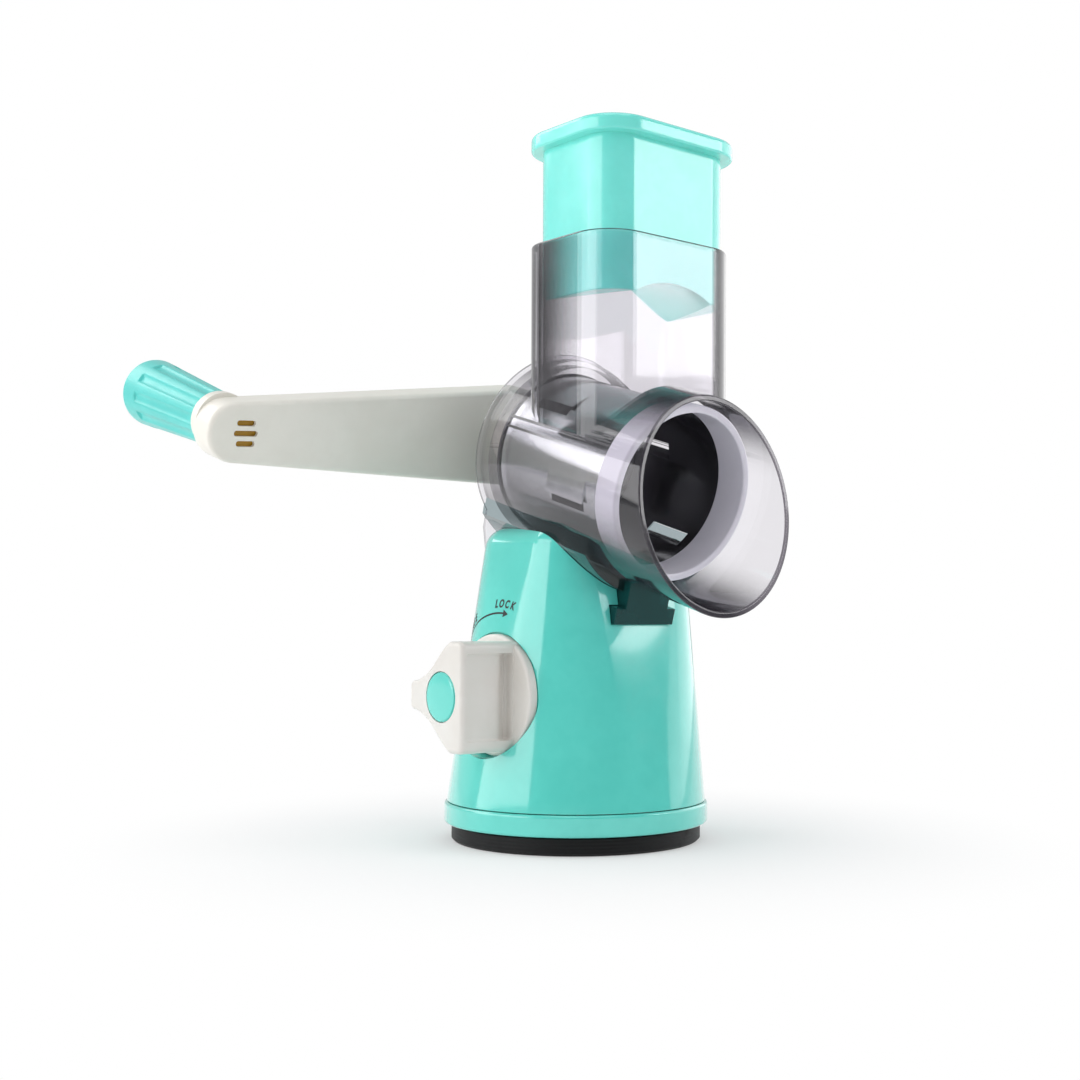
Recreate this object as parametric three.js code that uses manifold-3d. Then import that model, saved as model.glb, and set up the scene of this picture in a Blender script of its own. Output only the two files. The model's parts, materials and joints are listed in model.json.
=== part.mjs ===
// Rotary cheese grater: hand-cranked slicing drum in a clear feed housing,
// carried by a pedestal that a cam holds down on a suction pad.
//
// Millimetres, +Z up. The origin is the middle of the suction pad's underside.
// The mouth faces -Y, the crank is at the back and its arm points to -X,
// where the lock knob is too.

import * as THREE from 'three';
import { mergeVertices } from 'three/addons/utils/BufferGeometryUtils.js';
import Module from 'manifold-3d';

const wasm = await Module();
wasm.setup();

// ---------------------------------------------------------------- driving sizes

const FIT = 0.3; // gap between pieces that touch
const OVERCUT = 1; // how far a cutting form runs past the face it opens
const ROOT = 1; // how far a rib, boss or rod runs into what carries it
const SKIN = 0.02; // keeps faces that would coincide apart
const FAR = 400; // beyond every piece, for cuts without an end

// Drum axis: it passes over the pad's centre and slopes down to the mouth.
const AXIS_HEIGHT = 176;
const DRUM_TILT = THREE.MathUtils.degToRad(16);

// Suction pad and foot ring
const RING_RADIUS = 61;
const RING_HEIGHT = 9.7;
const RING_WALL = 3.4;
const RING_LEDGE = 5.5;
const RING_LEDGE_HEIGHT = 2;
const RING_EDGE = 0.8; // softened outer corners
const PAD_HEIGHT = 8;
const PAD_DISH = 1; // the top sinks this far towards the middle
const PAD_LIP = 1;
const PAD_BOSS_RADIUS = 12;
const PAD_BOSS_RISE = 3.5;
const LIP_GROOVE_INSET = 3.6;
const LIP_GROOVE_WIDTH = 2;
const LIP_GROOVE_DEPTH = 1;
const PLATE_THICKNESS = 3.4;

// Pedestal
const BODY_INSET = 1.2; // from the ring's outside to the body's foot
const CREST_DROP = 33; // from the drum axis down to the crest
const CREST_ROUNDING = 8.5;
const CREST_STEPS = 3;
const TOP_HALF_WIDTH = 41;
const TOP_HALF_DEPTH = 31;
const TOP_CORNER = 16;
const TOP_SHIFT = -6.4;
const BODY_WALL = 3;
const HOLLOW_DROP = 22; // from the crest down to the hollow's roof
const SIDE_FACE_SPREAD = THREE.MathUtils.degToRad(12);
const OUTLINE_STEPS = 7; // per quarter of the pedestal's outline
const BOSS_INSET = 16; // from the ring's outside to the screws
const SCREW_BOSS_RADIUS = 4.5;
const SCREW_BOSS_TOP = 84;
const SCREW_RIB_THICKNESS = 2;
const WEB_PLACE = 15; // the wall that carries the cam shaft's inner end
const WEB_THICKNESS = 3.5;
const WEB_HALF_WIDTH = 22;
const WEB_BELOW_SHAFT = 15;

// Screws
const SCREW_COUNT = 4;
const SCREW_SHANK_RADIUS = 1.7;
const SCREW_LENGTH = 14;
const SCREW_HEAD_RADIUS = 3.6;
const SCREW_HEAD_HEIGHT = 1.7;

// Lock knob and cam
const KNOB_HEIGHT = 68;
const KNOB_OFFSET = -3;
const KNOB_RADIUS = 27;
const KNOB_SINK = 1; // the disc's face lies this far inside the body's side
const KNOB_DISC = 4.2;
const KNOB_EDGE = 1.2;
const POCKET_GAP = 0.9;
const LEVER_REACH = 27.5;
const LEVER_TIP_INSET = 3; // from the disc's edge to the lever's ends
const LEVER_FRONT = 15.5;
const LEVER_CORNER = 4.2;
const LEVER_SHOULDER = 10.5; // the flat top ends this far in front of the axis
const LEVER_NOSE_INSET = 2.8;
const LEVER_NOSE_HALF_HEIGHT = 6.5;
const LEVER_NOSE_CORNER = 3;
const LEVER_BEVEL = 1.6;
const BEVEL_SHARE = 0.6; // the most that a bevel takes of the corner it runs round
const FLANK_HOLLOW = { y: 6, z: 8.5 }; // pull points of the curve from nose to shoulder
const FLANK_CROWN = { y: -1, drop: 4 };
const SCOOP_RADIUS = 30;
const SCOOP_DEPTH = 4;
const SCOOP_FLATTENING = 0.62; // width of the scoop against its depth
const SCOOP_END_INSET = 5.5;
const KNOB_CAP_RADIUS = 10.8;
const KNOB_CAP_THICKNESS = 1.8;
const KNOB_CAP_CROWN = 0.5;
const KNOB_SCREW_DEPTH = 6; // from the lever's face to the screw's seat
const KNOB_SCREW_HEAD_RADIUS = 4.1;
const KNOB_SCREW_HEAD_HEIGHT = 2.4;
const SHAFT_RADIUS = 5;
const SHAFT_SOCKET = 10;
const SHAFT_STUB = 2.5; // the shaft's end past its web
const CAM_THROW = 3;
const CAM_WIDTH = 8;

// Plunger that lifts the pad's middle
const STEM_RADIUS = 5;
const STEM_FOOT_RADIUS = 9;
const STEM_FOOT_HEIGHT = 2.5;
const YOKE_WALL = 4.5;
const YOKE_SIDE_GAP = 0.4;
const CAM_SLACK = 0.65; // a steady lift lags the round cam by this much

// Drum
const SLEEVE_RADIUS = 37;
const SLEEVE_THICKNESS = 0.8;
const SLEEVE_LENGTH = 73.1;
const DRUM_CLEARANCE = 4.5; // from the sleeve to the chamber's bore
const DRUM_END_GAP = 1.3;
const DRUM_RING_LENGTH = 12.8;
const DRUM_RING_STEP = 1.7; // it stands this proud of the sleeve
const DRUM_RING_WALL = 3.4;
const DRUM_RING_LAP = 1.5; // its skirt over the sleeve's end
const DRUM_RING_COLLAR = 4; // its collar inside the sleeve
const DRUM_RING_EDGE = 0.8;
const BLADE_ROW_TURNS = [60, 0]; // degrees, from the front row to the back one
const BLADE_FRONT_MARGIN = 10.7;
const BLADE_BACK_MARGIN = 7.4;
const BLADE_ROW_GAP = 3;
const BLADES_PER_ROW = 3;
const BLADE_RISE = 1.5;
const BLADE_ANGLE = 17;
const BLADE_STEPS = 5;
const SLOT_ANGLE = 13;
const SLOT_END_INSET = 1;
const HUB_FLANGE = 1.6;
const HUB_FLANGE_STEP = 0.8;
const HUB_WEB = 3;
const HUB_COLLAR_LENGTH = 8;
const HUB_COLLAR_WALL = 2;
const HUB_BOSS_RADIUS = 11;
const HUB_BOSS_LENGTH = 15;
const HUB_BOSS_FLOOR = 2;
const DRIVE_SQUARE = 10;

// Feed housing
const CHAMBER_WALL = 2.5;
const CHAMBER_BACK = 12.6;
const BACK_WALL = 2.1;
const BACK_RIM_STEP = 1.6;
const BACK_RIM_WIDTH = 2.6;
const MOUTH_TOP = -79;
const MOUTH_BOTTOM = -114;
const MOUTH_LIP = 5; // the uncut chamber runs this far past the mouth's lowest edge
const HOPPER_INSET = 3.5; // from the chamber's side to the hopper's
const HOPPER_DEPTH = 62.6;
const HOPPER_CORNER = 18.7;
const HOPPER_WALL = 2.4;
const HOPPER_CENTRE = -36;
const HOPPER_RISE = 90; // from the drum axis to the rim
const HOPPER_LOWEST = 60; // the uncut hopper starts this far below the drum axis
const HOPPER_FLOOR = 6; // it stops at a plane this far above the axis
const CHUTE_FLOOR = 4;
const BEARING_WALL = 4.1;
const BEARING_LENGTH = 20.3;
const SEAT_THICKNESS = 4.5;
const SEAT_HALF_WIDTH = 37;
const SEAT_FRONT = -62;
const SEAT_UPPER = -20; // the seat's sides end at this height from the axis
const RAIL_STEM_WIDTH = 24.3;
const RAIL_WIDTH = 34.6;
const RAIL_THICKNESS = 7.4;
const RAIL_DROP = 12.5; // from the seat's underside to the rail's
const RAIL_FRONT = -66;
const RAIL_SLOT_RISE = 8; // the stem's slot runs this far up into the saddle
const LEG_HALF_WIDTH = 34.5;
const LEG_STRAIGHT = 38; // its sides run straight this far below the axis
const LEG_FOOT_HALF_WIDTH = 26;
const LEG_DEPTH = 74;
const LEG_CORNER = 8;
const BACK_RIB_COUNT = 6;
const BACK_RIB_RISE = 9;
const BACK_RIB_THICKNESS = 1.8;
const BACK_RIB_MARGIN = 6;
const GUIDE_RIB_ANGLES = [158, 164];
const GUIDE_RIB_HEIGHT = 0.8;
const GUIDE_RIB_WIDTH = 1.1;
const GUIDE_RIB_FRONT = -53;

// Crank
const DRIVE_RADIUS = 6.1;
const BUSH_WALL = 1.7;
const BUSH_FLANGE_STEP = 2.9;
const BUSH_FLANGE = 1.4;
const ARM_COLLAR_LENGTH = 10.5; // from the bush to the arm's face
const ARM_COLLAR_RADIUS = 15;
const ARM_THICKNESS = 15;
const ARM_WALL = 2.6;
const ARM_FLOOR = 1; // face thickness past the bevel
const ARM_HUB_RADIUS = 23.8;
const ARM_END_RADIUS = 13.2;
const ARM_REACH = 147.5;
const ARM_BEVEL = 0.8;
const ARM_REST_ANGLE = THREE.MathUtils.degToRad(3.7);
const ARM_RIB_PLACES = [44, 74, 103];
const ARM_RIB_THICKNESS = 2.1;
const ARM_RIB_SETBACK = 2;
const ARM_BOSS_RADIUS = 12;
const NECK_RADIUS = 12.8;
const NECK_LENGTH = 3.5;
const FACE_SLOT_LENGTHS = [8.6, 11, 8.6];
const FACE_SLOT_PITCH = 4.45;
const FACE_SLOT_HEIGHT = 2.5;
const FACE_SLOT_INSET = 4;
const SLOT_PLATE_ROOM = 2.4;
const SLOT_PLATE_MARGIN = 3; // past the slots' ends
const SLOT_PLATE_LAP = 1.6; // past the slots' edges
const CRANK_SCREW_RADIUS = 2;
const CRANK_SCREW_HEAD = 5;
const CRANK_SCREW_HEAD_HEIGHT = 2.6;
const CRANK_SCREW_REACH = 4; // past the arm's face into the shaft
const SHAFT_END_COVER = 4; // of the arm's boss behind the drive shaft's end
const HUB_CAP_RADIUS = 15;
const HUB_CAP_HEIGHT = 4;
const HUB_CAP_EDGE = 1.5;
const HUB_CAP_TOP = 1.4;

// Grip
const GRIP_RAISE = 2.3; // its axis sits this far above the arm end's centre
const PIN_RADIUS = 4;
const PIN_HEAD_RADIUS = 6.5;
const PIN_HEAD_HEIGHT = 2.5;
const PIN_HEAD_DEPTH = 9; // from the grip's end to the head's outer face
const GRIP_LENGTH = 68.5;
const GRIP_NECK_RADIUS = 12.2;
const GRIP_END_RADIUS = 15.5;
const GRIP_DOME = 3;
const GRIP_EDGE = 4;
const GRIP_EDGE_STEPS = 3;
const FLUTE_COUNT = 10;
const FLUTE_RADIUS = 4.2;
const FLUTE_DEPTH = 1.1;
const FLUTE_STOP = 14; // plain length left at the grip's end
const GRIP_CAP_RADIUS = 10;
const GRIP_CAP_SEAT = 3;
const GRIP_CAP_CROWN = 1.4;
const GRIP_CAP_EDGE = { inset: 2, rise: 0.8 };

// Pusher
const PUSHER_CLEARANCE = 1.4; // to the hopper's walls, all round
const PUSHER_SHIFT = 0.8; // it hangs this far towards the hopper's front right corner
const PUSHER_WALL = 2;
const PUSHER_RIM_OVERHANG = 5.2;
const PUSHER_RIM_HEIGHT = 7;
const PUSHER_LIFT = 41; // how far it is drawn out at rest
const PUSHER_DRUM_GAP = 8; // left above the drum when it is pushed home
const PUSHER_SKIRT = 66; // rim's underside to the lowest edge

const ROUND = 40; // facets of a large cylinder
const MID_ROUND = 24;
const SMALL_ROUND = 16;
const SCREW_ROUND = 10;
const FLUTE_ROUND = 8;

// ---------------------------------------------------------------- shared places

const DRUM_FRAME = new THREE.Matrix4()
  .makeTranslation(0, 0, AXIS_HEIGHT)
  .multiply(new THREE.Matrix4().makeRotationX(DRUM_TILT));

const RING_BORE = RING_RADIUS - RING_WALL;
const RING_BASE = PAD_HEIGHT + FIT;
const RING_TOP = RING_BASE + RING_HEIGHT;
const PLATE_BASE = RING_BASE + RING_LEDGE_HEIGHT + FIT;
const PLATE_TOP = PLATE_BASE + PLATE_THICKNESS;
const BOSS_CIRCLE = RING_RADIUS - BOSS_INSET;
const BODY_FOOT_RADIUS = RING_RADIUS - BODY_INSET;
const BODY_BASE = RING_TOP + FIT;
const BODY_TOP = AXIS_HEIGHT - CREST_DROP;

/** Share of the pedestal's height at z: 0 at the foot and 1 at the crest. */
const riseAt = (z) => (z - BODY_BASE) / (BODY_TOP - BODY_BASE);
const FOOT_SIDE = BODY_FOOT_RADIUS * Math.cos(SIDE_FACE_SPREAD);
const KNOB_FACE = THREE.MathUtils.lerp(FOOT_SIDE, TOP_HALF_WIDTH, riseAt(KNOB_HEIGHT)) - KNOB_SINK;
const KNOB_BACK = KNOB_FACE - KNOB_DISC;
const POCKET_RADIUS = KNOB_RADIUS + POCKET_GAP;
const POCKET_FLOOR = KNOB_BACK - FIT;
const LEVER_FACE = KNOB_FACE + LEVER_REACH;
const LEVER_HALF_HEIGHT = KNOB_RADIUS - LEVER_TIP_INSET;
const LEVER_NOSE = KNOB_RADIUS - LEVER_NOSE_INSET;
const LEVER_ROUND = Math.min(LEVER_CORNER, LEVER_FRONT - LEVER_SHOULDER - LEVER_BEVEL / 2);
const LEVER_CHAMFER = Math.min(LEVER_BEVEL, BEVEL_SHARE * LEVER_ROUND);
const SHAFT_END = WEB_PLACE + WEB_THICKNESS + SHAFT_STUB;
const CAM_RADIUS = SHAFT_RADIUS + CAM_THROW;

const CHAMBER_BORE = SLEEVE_RADIUS + DRUM_CLEARANCE;
const CHAMBER_RADIUS = CHAMBER_BORE + CHAMBER_WALL;
const BACK_RIM_RADIUS = CHAMBER_RADIUS + BACK_RIM_STEP;
const BACK_FACE = CHAMBER_BACK + BACK_WALL;
const RIM_BACK = BACK_FACE + BACK_RIM_WIDTH;
const SEAT_RADIUS = CHAMBER_RADIUS + SEAT_THICKNESS;
const SADDLE_RADIUS = SEAT_RADIUS + FIT;
const RAIL_DEPTH = SEAT_RADIUS + RAIL_DROP;
const RAIL_TOP = RAIL_DEPTH - RAIL_THICKNESS;

const HUB_BACK = CHAMBER_BACK - DRUM_END_GAP;
const SLEEVE_BACK = HUB_BACK - HUB_FLANGE - FIT;
const SLEEVE_FRONT = SLEEVE_BACK - SLEEVE_LENGTH;
const SLEEVE_BORE = SLEEVE_RADIUS - SLEEVE_THICKNESS;
const BLADE_ROW_COUNT = BLADE_ROW_TURNS.length;
const BLADE_SPAN = SLEEVE_LENGTH - BLADE_FRONT_MARGIN - BLADE_BACK_MARGIN;
const BLADE_LENGTH = (BLADE_SPAN - (BLADE_ROW_COUNT - 1) * BLADE_ROW_GAP) / BLADE_ROW_COUNT;
const DRUM_RING_RADIUS = SLEEVE_RADIUS + DRUM_RING_STEP;
const DRUM_RING_BACK = SLEEVE_FRONT + DRUM_RING_LAP;
const DRUM_RING_FRONT = DRUM_RING_BACK - DRUM_RING_LENGTH;

const HOPPER_WIDTH = 2 * (CHAMBER_RADIUS - HOPPER_INSET);
const HOPPER_TOP = AXIS_HEIGHT + HOPPER_RISE;
const CHUTE_WIDTH = HOPPER_WIDTH - 2 * HOPPER_WALL;
const CHUTE_DEPTH = HOPPER_DEPTH - 2 * HOPPER_WALL;
const CHUTE_CORNER = HOPPER_CORNER - HOPPER_WALL;
const PUSHER_WIDTH = CHUTE_WIDTH - 2 * PUSHER_CLEARANCE;
const PUSHER_DEPTH = CHUTE_DEPTH - 2 * PUSHER_CLEARANCE;
const PUSHER_CORNER = CHUTE_CORNER - PUSHER_CLEARANCE;

const BUSH_RADIUS = DRIVE_RADIUS + FIT + BUSH_WALL;
const BEARING_RADIUS = BUSH_RADIUS + FIT + BEARING_WALL;
const BEARING_END = BACK_FACE + BEARING_LENGTH;
const BUSH_END = BEARING_END + FIT + BUSH_FLANGE;
const COLLAR_FRONT = BUSH_END + FIT;
const ARM_FACE = COLLAR_FRONT + ARM_COLLAR_LENGTH;
const ARM_INSIDE = ARM_FACE + ARM_BEVEL + ARM_FLOOR;
const ARM_BACK = ARM_FACE + ARM_THICKNESS;
const ARM_BOSS_BACK = ARM_BACK - ROOT;
const SHAFT_BACK = ARM_BACK - SHAFT_END_COVER;
const GRIP_START = ARM_BACK + NECK_LENGTH + FIT;
const GRIP_BACK = GRIP_START + GRIP_LENGTH;
const PIN_START = ARM_INSIDE + SLOT_PLATE_ROOM;
const PIN_END = GRIP_BACK - PIN_HEAD_DEPTH;

// ---------------------------------------------------------------- solid helpers

/** Signed volume of an indexed geometry; negative when its faces point inward. */
function signedVolume(positions, indices) {
  const corner = (k) => new THREE.Vector3().fromBufferAttribute(positions, indices.getX(k));
  let sum = 0;
  for (let k = 0; k < indices.count; k += 3) {
    sum += corner(k).dot(corner(k + 1).cross(corner(k + 2)));
  }
  return sum / 6;
}

/** A geometry as a closed manifold solid. */
function solid(source) {
  const bare = source.clone();
  bare.deleteAttribute('normal');
  bare.deleteAttribute('uv');
  const merged = mergeVertices(bare, 1e-4);
  const triVerts = Uint32Array.from(merged.index.array);
  if (signedVolume(merged.attributes.position, merged.index) < 0) {
    triVerts.reverse();
  }
  const vertProperties = Float32Array.from(merged.attributes.position.array);
  return new wasm.Manifold(new wasm.Mesh({ numProp: 3, vertProperties, triVerts }));
}

function union(first, ...others) {
  return others.reduce((sum, next) => sum.add(next), first);
}

/** The named mesh of a solid, with its material. */
function piece(name, body, material) {
  const result = body.getMesh();
  const geometry = new THREE.BufferGeometry();
  geometry.setAttribute('position', new THREE.BufferAttribute(result.vertProperties, 3));
  geometry.setIndex(new THREE.BufferAttribute(result.triVerts, 1));
  geometry.computeVertexNormals();
  const mesh = new THREE.Mesh(geometry, material);
  mesh.name = name;
  return mesh;
}

function box(x, y, z) {
  const block = new THREE.BoxGeometry(x[1] - x[0], y[1] - y[0], z[1] - z[0]);
  return block.translate((x[0] + x[1]) / 2, (y[0] + y[1]) / 2, (z[0] + z[1]) / 2);
}

/** Cylinder along Y between two places. */
function rodY(radius, from, to, facets = SMALL_ROUND) {
  return new THREE.CylinderGeometry(radius, radius, to - from, facets).translate(0, (from + to) / 2, 0);
}

/** Cylinder along Z between two heights. */
function rodZ(radius, from, to, facets = SMALL_ROUND) {
  return rodY(radius, from, to, facets).rotateX(Math.PI / 2);
}

/** Cylinder along X between two places. */
function rodX(radius, from, to, facets = SMALL_ROUND) {
  return rodY(radius, from, to, facets).rotateZ(-Math.PI / 2);
}

/** Revolve a closed outline of [radius, place] pairs about Y. */
function revolveY(outline, facets = ROUND) {
  const points = [...outline, outline[0]].map(([radius, place]) => new THREE.Vector2(radius, place));
  return new THREE.LatheGeometry(points, facets);
}

/** Revolve a closed outline of [radius, height] pairs about Z. */
function revolveZ(outline, facets = ROUND) {
  return revolveY(outline, facets).rotateX(Math.PI / 2);
}

/** Extrude a plan outline upward. */
function prismZ(shape, from, to, curveSegments = 8) {
  return new THREE.ExtrudeGeometry(shape, { depth: to - from, bevelEnabled: false, curveSegments })
    .translate(0, 0, from);
}

/** Extrude an outline drawn in (x, z) along Y; bevel is an optional chamfer. */
function prismY(shape, from, to, { bevel = 0, curveSegments = 9 } = {}) {
  const settings = { depth: to - from - 2 * bevel, curveSegments, bevelEnabled: bevel > 0 };
  Object.assign(settings, { bevelSize: bevel, bevelThickness: bevel, bevelOffset: -bevel, bevelSegments: 1 });
  return new THREE.ExtrudeGeometry(shape, settings).rotateX(Math.PI / 2).translate(0, to - bevel, 0);
}

/** Extrude an outline drawn in (y, z) along X; bevel is an optional chamfer. */
function prismX(shape, from, to, { bevel = 0, curveSegments = 8 } = {}) {
  const settings = { depth: to - from - 2 * bevel, curveSegments, bevelEnabled: bevel > 0 };
  Object.assign(settings, { bevelSize: bevel, bevelThickness: bevel, bevelOffset: -bevel, bevelSegments: 2 });
  const axes = new THREE.Matrix4().makeBasis(
    new THREE.Vector3(0, 1, 0),
    new THREE.Vector3(0, 0, 1),
    new THREE.Vector3(1, 0, 0),
  );
  return new THREE.ExtrudeGeometry(shape, settings).applyMatrix4(axes).translate(from + bevel, 0, 0);
}

function roundedRectangle(width, depth, radius, centreY = 0) {
  const x = width / 2 - radius;
  const y = depth / 2 - radius;
  const shape = new THREE.Shape();
  shape.absarc(x, centreY + y, radius, 0, Math.PI / 2);
  shape.absarc(-x, centreY + y, radius, Math.PI / 2, Math.PI);
  shape.absarc(-x, centreY - y, radius, Math.PI, 1.5 * Math.PI);
  shape.absarc(x, centreY - y, radius, 1.5 * Math.PI, 2 * Math.PI);
  shape.closePath();
  return shape;
}

function polygon(points) {
  return new THREE.Shape(points.map(([x, y]) => new THREE.Vector2(x, y)));
}

/** Move a geometry drawn about the drum axis to the drum's place. */
function onDrumAxis(geometry) {
  return geometry.applyMatrix4(DRUM_FRAME);
}

/** Move a geometry drawn about X to the lock knob's axis. */
function onKnobAxis(geometry) {
  return geometry.translate(0, KNOB_OFFSET, KNOB_HEIGHT);
}

/** Everything above a plane that lies along the drum axis, at a given height over it. */
function aboveAxis(height) {
  return solid(onDrumAxis(box([-FAR, FAR], [-FAR, FAR], [height, FAR])));
}

/** The parts of a curve's steps from 0 to 1, both ends included. */
function shares(steps) {
  return Array.from({ length: steps + 1 }, (_, k) => k / steps);
}

// ---------------------------------------------------------------- materials

function finish(colour, roughness, metalness = 0, opacity = 1) {
  return new THREE.MeshStandardMaterial({
    color: colour,
    roughness,
    metalness,
    opacity,
    transparent: opacity < 1,
  });
}

const turquoise = finish(0x78dccd, 0.28);
const whitePlastic = finish(0xecebe6, 0.35);
const armPlastic = finish(0xd7d5cf, 0.4);
const clearPlastic = finish(0xcfcbd4, 0.08, 0, 0.35);
const rubber = finish(0x141414, 0.7);
const steel = finish(0xc4c6c9, 0.22, 1);
const amber = finish(0x8b690a, 0.4);

// ---------------------------------------------------------------- foot

function suctionPad() {
  const radius = RING_BORE;
  const bossTop = PAD_HEIGHT + PAD_BOSS_RISE;
  const pad = solid(revolveZ([
    [0, 0],
    [radius - PAD_LIP, 0],
    [radius, PAD_LIP],
    [radius, PAD_HEIGHT],
    [PAD_BOSS_RADIUS, PAD_HEIGHT - PAD_DISH],
    [PAD_BOSS_RADIUS, bossTop],
    [0, bossTop],
  ]));
  const grooveOuter = radius - LIP_GROOVE_INSET;
  const groove = solid(revolveZ([
    [grooveOuter - LIP_GROOVE_WIDTH, -OVERCUT],
    [grooveOuter, -OVERCUT],
    [grooveOuter, LIP_GROOVE_DEPTH],
    [grooveOuter - LIP_GROOVE_WIDTH, LIP_GROOVE_DEPTH],
  ]));
  return piece('suction_pad', pad.subtract(groove), rubber);
}

function footRing() {
  const ledge = RING_BORE - RING_LEDGE;
  const ledgeTop = RING_BASE + RING_LEDGE_HEIGHT;
  const outline = [
    [ledge, RING_BASE],
    [RING_RADIUS - RING_EDGE, RING_BASE],
    [RING_RADIUS, RING_BASE + RING_EDGE],
    [RING_RADIUS, RING_TOP - RING_EDGE],
    [RING_RADIUS - RING_EDGE, RING_TOP],
    [RING_BORE, RING_TOP],
    [RING_BORE, ledgeTop],
    [ledge, ledgeTop],
  ];
  return piece('foot_ring', solid(revolveZ(outline)), turquoise);
}

/** One entry per screw: its centre on the boss circle and its angle. */
function screwPlaces() {
  return Array.from({ length: SCREW_COUNT }, (_, k) => {
    const angle = (k + 0.5) * (2 * Math.PI / SCREW_COUNT);
    return { x: BOSS_CIRCLE * Math.cos(angle), y: BOSS_CIRCLE * Math.sin(angle), angle };
  });
}

function pressurePlate() {
  const counterbore = PLATE_BASE + SCREW_HEAD_HEIGHT + FIT;
  let plate = solid(rodZ(RING_BORE - FIT, PLATE_BASE, PLATE_TOP, ROUND))
    .subtract(solid(rodZ(PAD_BOSS_RADIUS + FIT, PLATE_BASE - OVERCUT, PLATE_TOP + OVERCUT)));
  for (const { x, y } of screwPlaces()) {
    const head = rodZ(SCREW_HEAD_RADIUS + FIT, PLATE_BASE - OVERCUT, counterbore);
    const hole = rodZ(SCREW_SHANK_RADIUS + FIT, PLATE_BASE, PLATE_TOP + OVERCUT, SCREW_ROUND);
    plate = plate.subtract(solid(head.translate(x, y, 0))).subtract(solid(hole.translate(x, y, 0)));
  }
  return piece('pressure_plate', plate, whitePlastic);
}

function plateScrews() {
  const headTop = PLATE_BASE + SCREW_HEAD_HEIGHT;
  return screwPlaces().map(({ x, y }, k) => {
    const screw = union(
      solid(rodZ(SCREW_HEAD_RADIUS, PLATE_BASE, headTop, SCREW_ROUND)),
      solid(rodZ(SCREW_SHANK_RADIUS, headTop - ROOT, headTop + SCREW_LENGTH, SCREW_ROUND)),
    );
    const mesh = piece(`plate_screw_${k + 1}`, screw, steel);
    mesh.position.set(x, y, 0);
    return mesh;
  });
}

// ---------------------------------------------------------------- pedestal

/**
 * The pedestal's outline at one height: a circle at the foot (rise 0) that
 * turns into a rounded rectangle at the crest (rise 1), drawn in by inset.
 */
function pedestalOutline(rise, inset) {
  const points = [];
  const footRadius = BODY_FOOT_RADIUS - inset;
  for (let quadrant = 0; quadrant < 4; quadrant += 1) {
    const start = quadrant * Math.PI / 2;
    const cornerX = (quadrant === 0 || quadrant === 3 ? 1 : -1) * (TOP_HALF_WIDTH - TOP_CORNER);
    const cornerY = (quadrant < 2 ? 1 : -1) * (TOP_HALF_DEPTH - TOP_CORNER) + TOP_SHIFT;
    for (const share of shares(OUTLINE_STEPS)) {
      const footAngle = start + THREE.MathUtils.lerp(SIDE_FACE_SPREAD, Math.PI / 2 - SIDE_FACE_SPREAD, share);
      const crestAngle = start + share * Math.PI / 2;
      const crestX = cornerX + (TOP_CORNER - inset) * Math.cos(crestAngle);
      const crestY = cornerY + (TOP_CORNER - inset) * Math.sin(crestAngle);
      points.push([
        THREE.MathUtils.lerp(footRadius * Math.cos(footAngle), crestX, rise),
        THREE.MathUtils.lerp(footRadius * Math.sin(footAngle), crestY, rise),
      ]);
    }
  }
  return points;
}

/** Closed loft through outlines of equal length, each at its own height. */
function loft(sections) {
  const count = sections[0].points.length;
  const vertices = sections.flatMap(({ points, z }) => points.flatMap(([x, y]) => [x, y, z]));
  const indices = [];
  for (let s = 0; s + 1 < sections.length; s += 1) {
    for (let k = 0; k < count; k += 1) {
      const a = s * count + k;
      const b = s * count + (k + 1) % count;
      indices.push(a, b, b + count, a, b + count, a + count);
    }
  }
  const contour = (points) => points.map(([x, y]) => new THREE.Vector2(x, y));
  const last = (sections.length - 1) * count;
  for (const [a, b, c] of THREE.ShapeUtils.triangulateShape(contour(sections[0].points), [])) {
    indices.push(c, b, a);
  }
  for (const [a, b, c] of THREE.ShapeUtils.triangulateShape(contour(sections.at(-1).points), [])) {
    indices.push(last + a, last + b, last + c);
  }
  const geometry = new THREE.BufferGeometry();
  geometry.setAttribute('position', new THREE.Float32BufferAttribute(vertices, 3));
  geometry.setIndex(indices);
  return geometry;
}

/** The pedestal's outline at a height, as one section of a loft. */
function pedestalSection(z, inset) {
  return { points: pedestalOutline(riseAt(z), inset), z };
}

/** The full pedestal, with its crest rounded over all round. */
function pedestalForm() {
  const shoulder = BODY_TOP - CREST_ROUNDING;
  const crest = shares(CREST_STEPS).map((share) => {
    const angle = share * Math.PI / 2;
    const inset = CREST_ROUNDING * (1 - Math.cos(angle));
    return pedestalSection(shoulder + CREST_ROUNDING * Math.sin(angle), inset);
  });
  return solid(loft([pedestalSection(BODY_BASE, 0), ...crest]));
}

/** The T-shaped way that the housing's rail slides in. */
function railSlot() {
  const stem = RAIL_STEM_WIDTH / 2 + FIT;
  const flange = RAIL_WIDTH / 2 + FIT;
  return union(
    solid(onDrumAxis(box([-stem, stem], [-FAR, FAR], [-RAIL_TOP - ROOT, RAIL_SLOT_RISE - SEAT_RADIUS]))),
    solid(onDrumAxis(box([-flange, flange], [-FAR, FAR], [-RAIL_DEPTH - FIT, FIT - RAIL_TOP]))),
  );
}

/** Room behind the pedestal for the housing's leg. */
function legRoom() {
  const half = LEG_HALF_WIDTH + FIT;
  return solid(onDrumAxis(box([-half, half], [BACK_FACE - FIT, FAR], [-LEG_DEPTH - FIT, 0])));
}

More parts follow.
